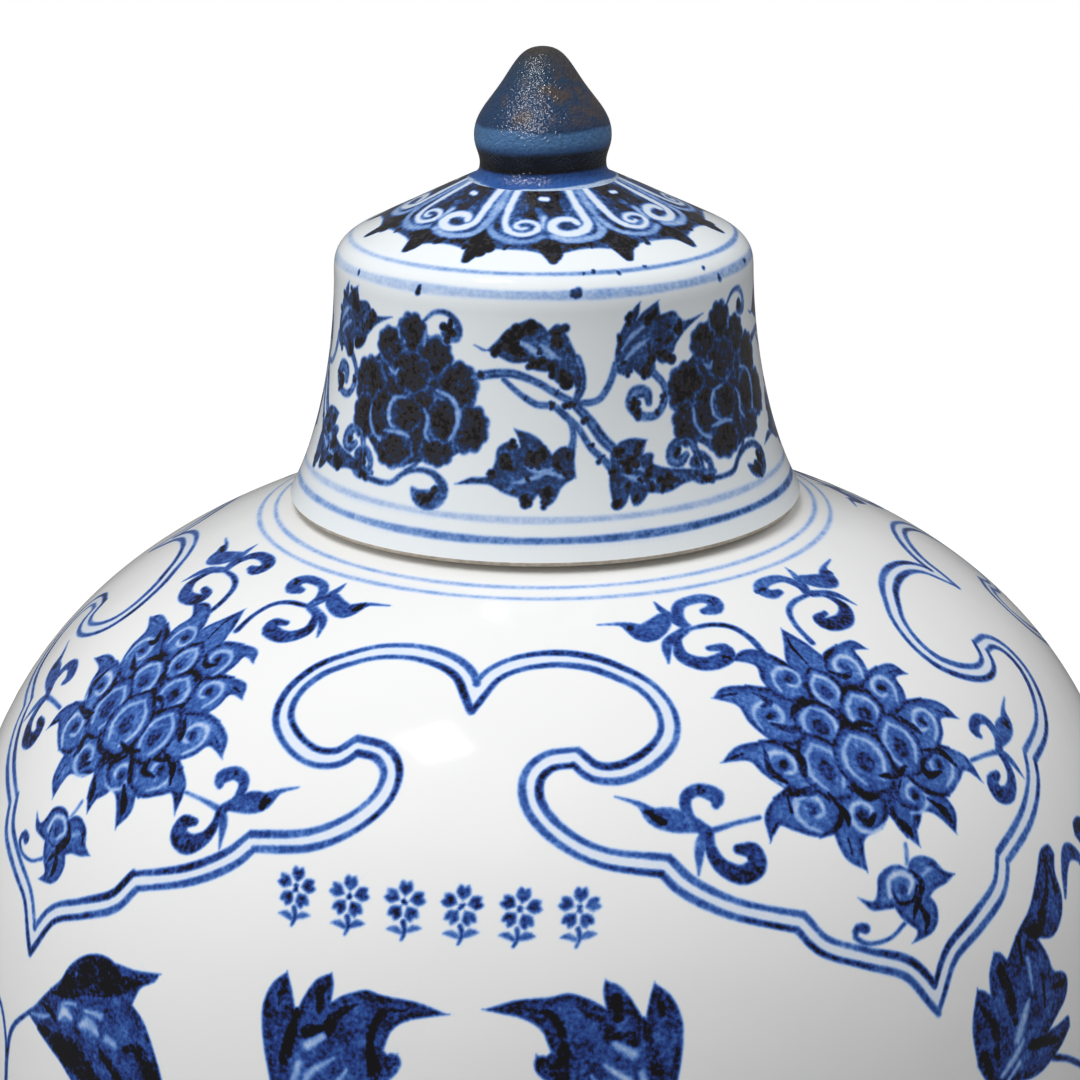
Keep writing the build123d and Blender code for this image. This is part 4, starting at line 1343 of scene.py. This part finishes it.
class Shader:
    """A material's node tree, with short helpers to add nodes to it."""

    def __init__(self, name, roughness):
        self.material = bpy.data.materials.new(name)
        self.material.use_nodes = True
        self.tree = self.material.node_tree
        self.surface = self.tree.nodes["Principled BSDF"]
        self.surface.inputs["Roughness"].default_value = roughness
        self.surface.inputs["IOR"].default_value = 1.5

    def link(self, source, target):
        self.tree.links.new(source, target)

    def value(self, source, target):
        """Links a socket to an input, or sets the input to a number."""
        if isinstance(source, bpy.types.NodeSocket):
            self.link(source, target)
        else:
            target.default_value = source

    def math(self, operation, first, second=0.0):
        node = self.tree.nodes.new("ShaderNodeMath")
        node.operation = operation
        self.value(first, node.inputs[0])
        self.value(second, node.inputs[1])
        return node.outputs[0]

    def noise(self, size, detail=2.0, stretch=(1, 1, 1)):
        """Noise with features of about the given size in mm, from 0 to 1."""
        place = self.tree.nodes.new("ShaderNodeTexCoord")
        mapping = self.tree.nodes.new("ShaderNodeMapping")
        mapping.inputs["Scale"].default_value = stretch
        node = self.tree.nodes.new("ShaderNodeTexNoise")
        node.inputs["Scale"].default_value = 1 / (size * MM)
        node.inputs["Detail"].default_value = detail
        self.link(place.outputs["Object"], mapping.inputs["Vector"])
        self.link(mapping.outputs[0], node.inputs["Vector"])
        return node.outputs["Fac"]

    def place(self):
        """The place on the object, as X, Y and Z sockets in metres."""
        coordinates = self.tree.nodes.new("ShaderNodeTexCoord")
        split = self.tree.nodes.new("ShaderNodeSeparateXYZ")
        self.link(coordinates.outputs["Object"], split.inputs[0])
        return split.outputs

    def attribute(self, name):
        node = self.tree.nodes.new("ShaderNodeAttribute")
        node.attribute_name = name
        return node.outputs["Fac"]

    def ramp(self, source, stops):
        """A colour ramp from (place, colour code) stops."""
        node = self.tree.nodes.new("ShaderNodeValToRGB")
        node.color_ramp.interpolation = "LINEAR"
        marks = node.color_ramp.elements
        while len(marks) < len(stops):
            marks.new(0.5)
        for mark, (place, _) in zip(marks, stops):
            mark.position = place
        for mark, (_, code) in zip(marks, stops):
            mark.color = linear(code)
        self.link(source, node.inputs[0])
        return node.outputs[0]

    def grey_ramp(self, source, stops):
        """A ramp from (place, grey level) stops."""
        codes = [(place, f"{round(grey * 255):02X}" * 3) for place, grey in stops]
        node = self.ramp(source, codes).node
        for mark, (_, grey) in zip(node.color_ramp.elements, stops):
            mark.color = (grey, grey, grey, 1)
        return node.outputs[0]

    def mix(self, share, first, second, blend="MIX"):
        """The first colour with a share of the second, given as a socket or a colour code."""
        node = self.tree.nodes.new("ShaderNodeMix")
        node.data_type = "RGBA"
        node.blend_type = blend
        self.value(share, node.inputs[0])
        self.link(first, node.inputs[6])
        self.value(linear(second) if isinstance(second, str) else second, node.inputs[7])
        return node.outputs[2]

    def colour(self, source):
        self.link(source, self.surface.inputs["Base Color"])

    def bump(self, height, distance):
        """Raises the surface by up to distance mm."""
        node = self.tree.nodes.new("ShaderNodeBump")
        node.inputs["Distance"].default_value = distance * MM
        self.link(height, node.inputs["Height"])
        self.link(node.outputs[0], self.surface.inputs["Normal"])


BODY_BLUES = (
    (0.0, "E8E9E8"), (0.1, "D2DDEF"), (0.3, "86A6D8"), (0.48, "4F77BE"), (0.62, "33589F"),
    (0.78, "22397F"), (0.9, "171D3C"), (1.0, "101014"),
)
LID_BLUES = (
    (0.0, "E4E9EC"), (0.1, "CBD9ED"), (0.3, "7FA0D2"), (0.48, "4A6FAE"), (0.6, "2F4C80"),
    (0.72, "28365A"), (0.8, "292D38"), (0.9, "332F2F"), (1.0, "1B1A1D"),
)
PLAIN_GLAZE = ((0.0, "DDE2E4"), (1.0, "ECEEEE"))


def painted_glaze(name, blues):
    """Clear glaze over brushed cobalt that pools in darker heaps and breaks into specks."""
    shader = Shader(name, 0.11)
    ink = shader.attribute("ink")
    heaps = shader.math("MULTIPLY", shader.noise(5.0, 2.0), 0.85)
    specks = shader.math("MULTIPLY", shader.noise(1.1, 3.0), 1.0)
    depth = shader.math("ADD", shader.math("ADD", heaps, specks), 0.08)
    shader.colour(shader.ramp(shader.math("MULTIPLY", ink, depth), blues))
    shader.bump(shader.noise(22.0, 1.0), 0.25)
    return shader.material


def plain_glaze(name):
    """The same clear glaze with nothing painted under it."""
    shader = Shader(name, 0.13)
    shader.colour(shader.ramp(shader.noise(9.0, 3.0), PLAIN_GLAZE))
    shader.bump(shader.noise(22.0, 1.0), 0.2)
    return shader.material


def bare_clay(name):
    """Unglazed biscuit where the glaze was wiped off."""
    shader = Shader(name, 0.75)
    shader.colour(shader.ramp(shader.noise(2.0, 4.0), ((0.3, "A99C8B"), (0.7, "CFC4B4"))))
    shader.bump(shader.noise(0.6, 3.0), 0.06)
    return shader.material


BELLY_SHARE = 0.45  # how far up the knob its widest part ends
BAND_SWAY = 3.5  # mm that the knob's bands wander up and down
BURNT_SLOPE = 12.0  # how fast the brown comes in from left to right, for a metre
BURNT_BROWN = "4E4644"
KNOB_BANDS = (
    # height above the lid's rim in mm, colour
    (83.0, "B4C8E4"), (84.0, "7096CC"), (85.0, "315CA2"), (87.4, "2A4F8E"), (88.2, "131418"),
    (92.4, "191B20"), (93.8, "3A5C8A"), (95.5, "5079A6"), (98.2, "4A709C"), (99.2, "263F62"),
    (106.0, "273F5E"), (113.0, "2D4158"), (117.5, "403E3C"),
)


def blue_glaze(name, low, high):
    """The knob's thick blue, in bands by height, burnt brown over one side of its point."""
    shader = Shader(name, 0.16)
    place = shader.place()
    streaks = shader.noise(9.0, 4.0, stretch=(0.4, 0.4, 2.4))
    sway = shader.math("MULTIPLY", shader.math("SUBTRACT", streaks, 0.5), BAND_SWAY * MM)
    height = shader.math("ADD", place["Z"], sway)
    share = shader.math("DIVIDE", shader.math("SUBTRACT", height, low), high - low)
    foot = SEAT_HEIGHT * MM - low
    bands = shader.ramp(share, [((z * MM + foot) / (high - low), code) for z, code in KNOB_BANDS])
    above = shader.grey_ramp(share, ((BELLY_SHARE - 0.04, 0.0), (BELLY_SHARE + 0.08, 1.0)))
    aside = shader.math("ADD", shader.math("MULTIPLY", place["X"], BURNT_SLOPE), shader.noise(6.0, 3.0))
    side = shader.grey_ramp(aside, ((0.46, 0.05), (0.6, 0.95)))
    burnt = shader.math("MULTIPLY", above, side)
    patches = shader.noise(3.0, 5.0, stretch=(0.5, 0.5, 1.6))
    broken = shader.grey_ramp(patches, ((0.36, 0.35), (0.56, 1.0)))
    coat = shader.mix(shader.math("MULTIPLY", burnt, broken), bands, BURNT_BROWN)
    specks = shader.grey_ramp(shader.noise(1.0, 4.0), ((0.3, 0.7), (0.5, 0.95), (0.7, 1.0)))
    shader.colour(shader.mix(1.0, coat, specks, "MULTIPLY"))
    shader.bump(shader.noise(0.8, 2.0), 0.5)
    return shader.material


# --- Pieces ---------------------------------------------------------------------------

FOOT_BARE_HEIGHT = 2.5  # mm
LID_BARE_RISE = 4.0  # mm above the lid's lowest edge

clay = bare_clay("bare_clay")
body_glaze = painted_glaze("painted_body_glaze", BODY_BLUES)
lid_glaze = painted_glaze("painted_lid_glaze", LID_BLUES)
white_glaze = plain_glaze("plain_glaze")
knob_low, knob_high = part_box("lid_finial")
knob_glaze = blue_glaze("blue_glaze", knob_low[2], knob_high[2])

# node: body, record slot, glaze, painted sheet, columns
PIECES = {
    "base_section": ("jar", "painted_porcelain", body_glaze, base_sheet, FOOT_COLUMNS),
    "belly_section": ("jar", "painted_porcelain", body_glaze, belly_sheet, FOOT_COLUMNS),
    "shoulder_section": ("jar", "painted_porcelain", body_glaze, shoulder_sheet, BODY_COLUMNS),
    "neck": ("jar", "plain_porcelain", white_glaze, None, NARROW_COLUMNS),
    "lid_bell": ("lid", "painted_porcelain", lid_glaze, lid_sheet, LID_COLUMNS),
    "lid_locating_tube": ("lid", "plain_porcelain", white_glaze, None, NARROW_COLUMNS),
    "lid_finial": ("lid", "blue_porcelain", knob_glaze, None, NARROW_COLUMNS),
}


def unglazed_runs(node):
    """Numbers of the runs of a node that stay bare: the foot ring and the lid's rim."""
    runs = runs_of[node]
    if node == "base_section":
        return [k for k, run in enumerate(runs) if run.points[:, 1].max() < FOOT_BARE_HEIGHT]
    if node == "lid_bell":
        rim = SEAT_HEIGHT + LID_BARE_RISE
        return [k for k, run in enumerate(runs) if run.points[:, 1].max() < rim]
    return []


for node, (rides_on, slot_name, glaze, sheet, columns) in PIECES.items():
    mesh = turned_mesh(node, runs_of[node], sheet, columns, unglazed_runs(node))
    mesh.materials.append(glaze)
    mesh.materials.append(clay)
    piece = bpy.data.objects.new("glazed_" + node, mesh)
    bpy.context.collection.objects.link(piece)
    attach(piece, rides_on)
    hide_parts(node)


# --- Floor, lights and camera ---------------------------------------------------------

FLOOR_RADIUS = 30.0  # m
CAMERA_DISTANCE = 0.785  # m in front of the axis
CAMERA_RISE = 0.2347  # m above the plane the lid's rim lies in
CAMERA_SIDE = -0.0028  # m to the right of the axis
CAMERA_PITCH = 17.55  # degrees down
CAMERA_YAW = 0.098  # degrees to the right
CAMERA_ROLL = -0.4  # degrees
CAMERA_LENS = 102.7  # mm
TENT_LIGHT = 0.36  # strength of the light from all round
TENT_MIRRORED = 0.14  # its strength as the glaze mirrors it
TENT_SEEN = 1.25  # its strength behind the object
FLOOR_COLOUR = "BCBCBC"
FLOOR_GLOW = 0.9  # light the floor adds for the camera only, so that it reads as white
EXPOSURE = -0.12  # stops
# name: place and target in m, side in m, power in W, whether the glaze mirrors it
LAMPS = {
    "key": ((-0.35, -0.62, 1.85), (0, 0, 0.45), 0.8, 18, False),
    "left": ((-1.3, -0.35, 0.9), (0, 0, 0.45), 1.0, 5, False),
    "overhead": ((-0.42, -0.2, 1.9), (0, -0.05, 0.5), 0.22, 1.3, True),
    "right": ((1.0, 0.15, 1.5), (0, 0, 0.4), 0.9, 4.6, False),
    "glint": ((-0.36, -0.5, 1.25), (0, 0, 0.6), 0.2, 9.0, True),
}


def make_floor():
    """A wide round floor that reads as white paper."""
    bpy.ops.mesh.primitive_circle_add(vertices=96, radius=FLOOR_RADIUS, fill_type="NGON")
    floor = bpy.context.object
    floor.name = "floor"
    paper = Shader("white_paper", 0.9)
    paper.surface.inputs["Base Color"].default_value = linear(FLOOR_COLOUR)
    paper.surface.inputs["Emission Color"].default_value = (1, 1, 1, 1)
    path = paper.tree.nodes.new("ShaderNodeLightPath")
    glow = paper.math("MULTIPLY", path.outputs["Is Camera Ray"], FLOOR_GLOW)
    paper.link(glow, paper.surface.inputs["Emission Strength"])
    floor.data.materials.append(paper.material)
    floor.visible_glossy = False


def make_light(name, place, target, size, power, mirrored):
    """A soft square light that faces the target; only a mirrored one shows in the glaze."""
    data = bpy.data.lights.new(name, "AREA")
    data.size = size
    data.energy = power
    light = bpy.data.objects.new(name, data)
    light.location = place
    light.rotation_mode = "QUATERNION"
    light.rotation_quaternion = (Vector(target) - Vector(place)).to_track_quat("-Z", "Y")
    light.visible_glossy = mirrored
    bpy.context.collection.objects.link(light)


def light_only_knob(light):
    """Leaves a light only its mirror image in the knob."""
    light.visible_diffuse = False
    only_knob = bpy.data.collections.new("only_knob")
    only_knob.objects.link(bpy.data.objects["glazed_lid_finial"])
    light.light_linking.receiver_collection = only_knob


def make_world():
    """Even white light, whiter to the camera and darker in the mirror of the glaze."""
    world = bpy.data.worlds.new("white_tent")
    world.use_nodes = True
    tree = world.node_tree
    background = tree.nodes["Background"]
    background.inputs["Color"].default_value = (1, 1, 1, 1)
    path = tree.nodes.new("ShaderNodeLightPath")
    mirror = tree.nodes.new("ShaderNodeMix")
    mirror.inputs[2].default_value = TENT_LIGHT
    mirror.inputs[3].default_value = TENT_MIRRORED
    seen = tree.nodes.new("ShaderNodeMix")
    seen.inputs[3].default_value = TENT_SEEN
    tree.links.new(path.outputs["Is Glossy Ray"], mirror.inputs[0])
    tree.links.new(path.outputs["Is Camera Ray"], seen.inputs[0])
    tree.links.new(mirror.outputs[0], seen.inputs[2])
    tree.links.new(seen.outputs[0], background.inputs["Strength"])
    bpy.context.scene.world = world


def make_camera():
    """The camera, placed from the height of the lid's seat."""
    data = bpy.data.cameras.new("camera")
    data.lens = CAMERA_LENS
    data.clip_end = 100
    camera = bpy.data.objects.new("camera", data)
    camera.location = (CAMERA_SIDE, -CAMERA_DISTANCE, SEAT_HEIGHT * MM + CAMERA_RISE)
    facing = Matrix.Rotation(math.radians(-CAMERA_YAW), 4, "Z")
    tilt = Matrix.Rotation(math.radians(90 - CAMERA_PITCH), 4, "X")
    roll = Matrix.Rotation(math.radians(CAMERA_ROLL), 4, "Z")
    camera.rotation_euler = (facing @ tilt @ roll).to_euler()
    bpy.context.collection.objects.link(camera)
    bpy.context.scene.camera = camera


make_floor()
make_world()
for name, values in LAMPS.items():
    make_light(name, *values)
light_only_knob(bpy.data.objects["glint"])
make_camera()
bpy.context.scene.view_settings.view_transform = "Standard"
bpy.context.scene.view_settings.exposure = EXPOSURE
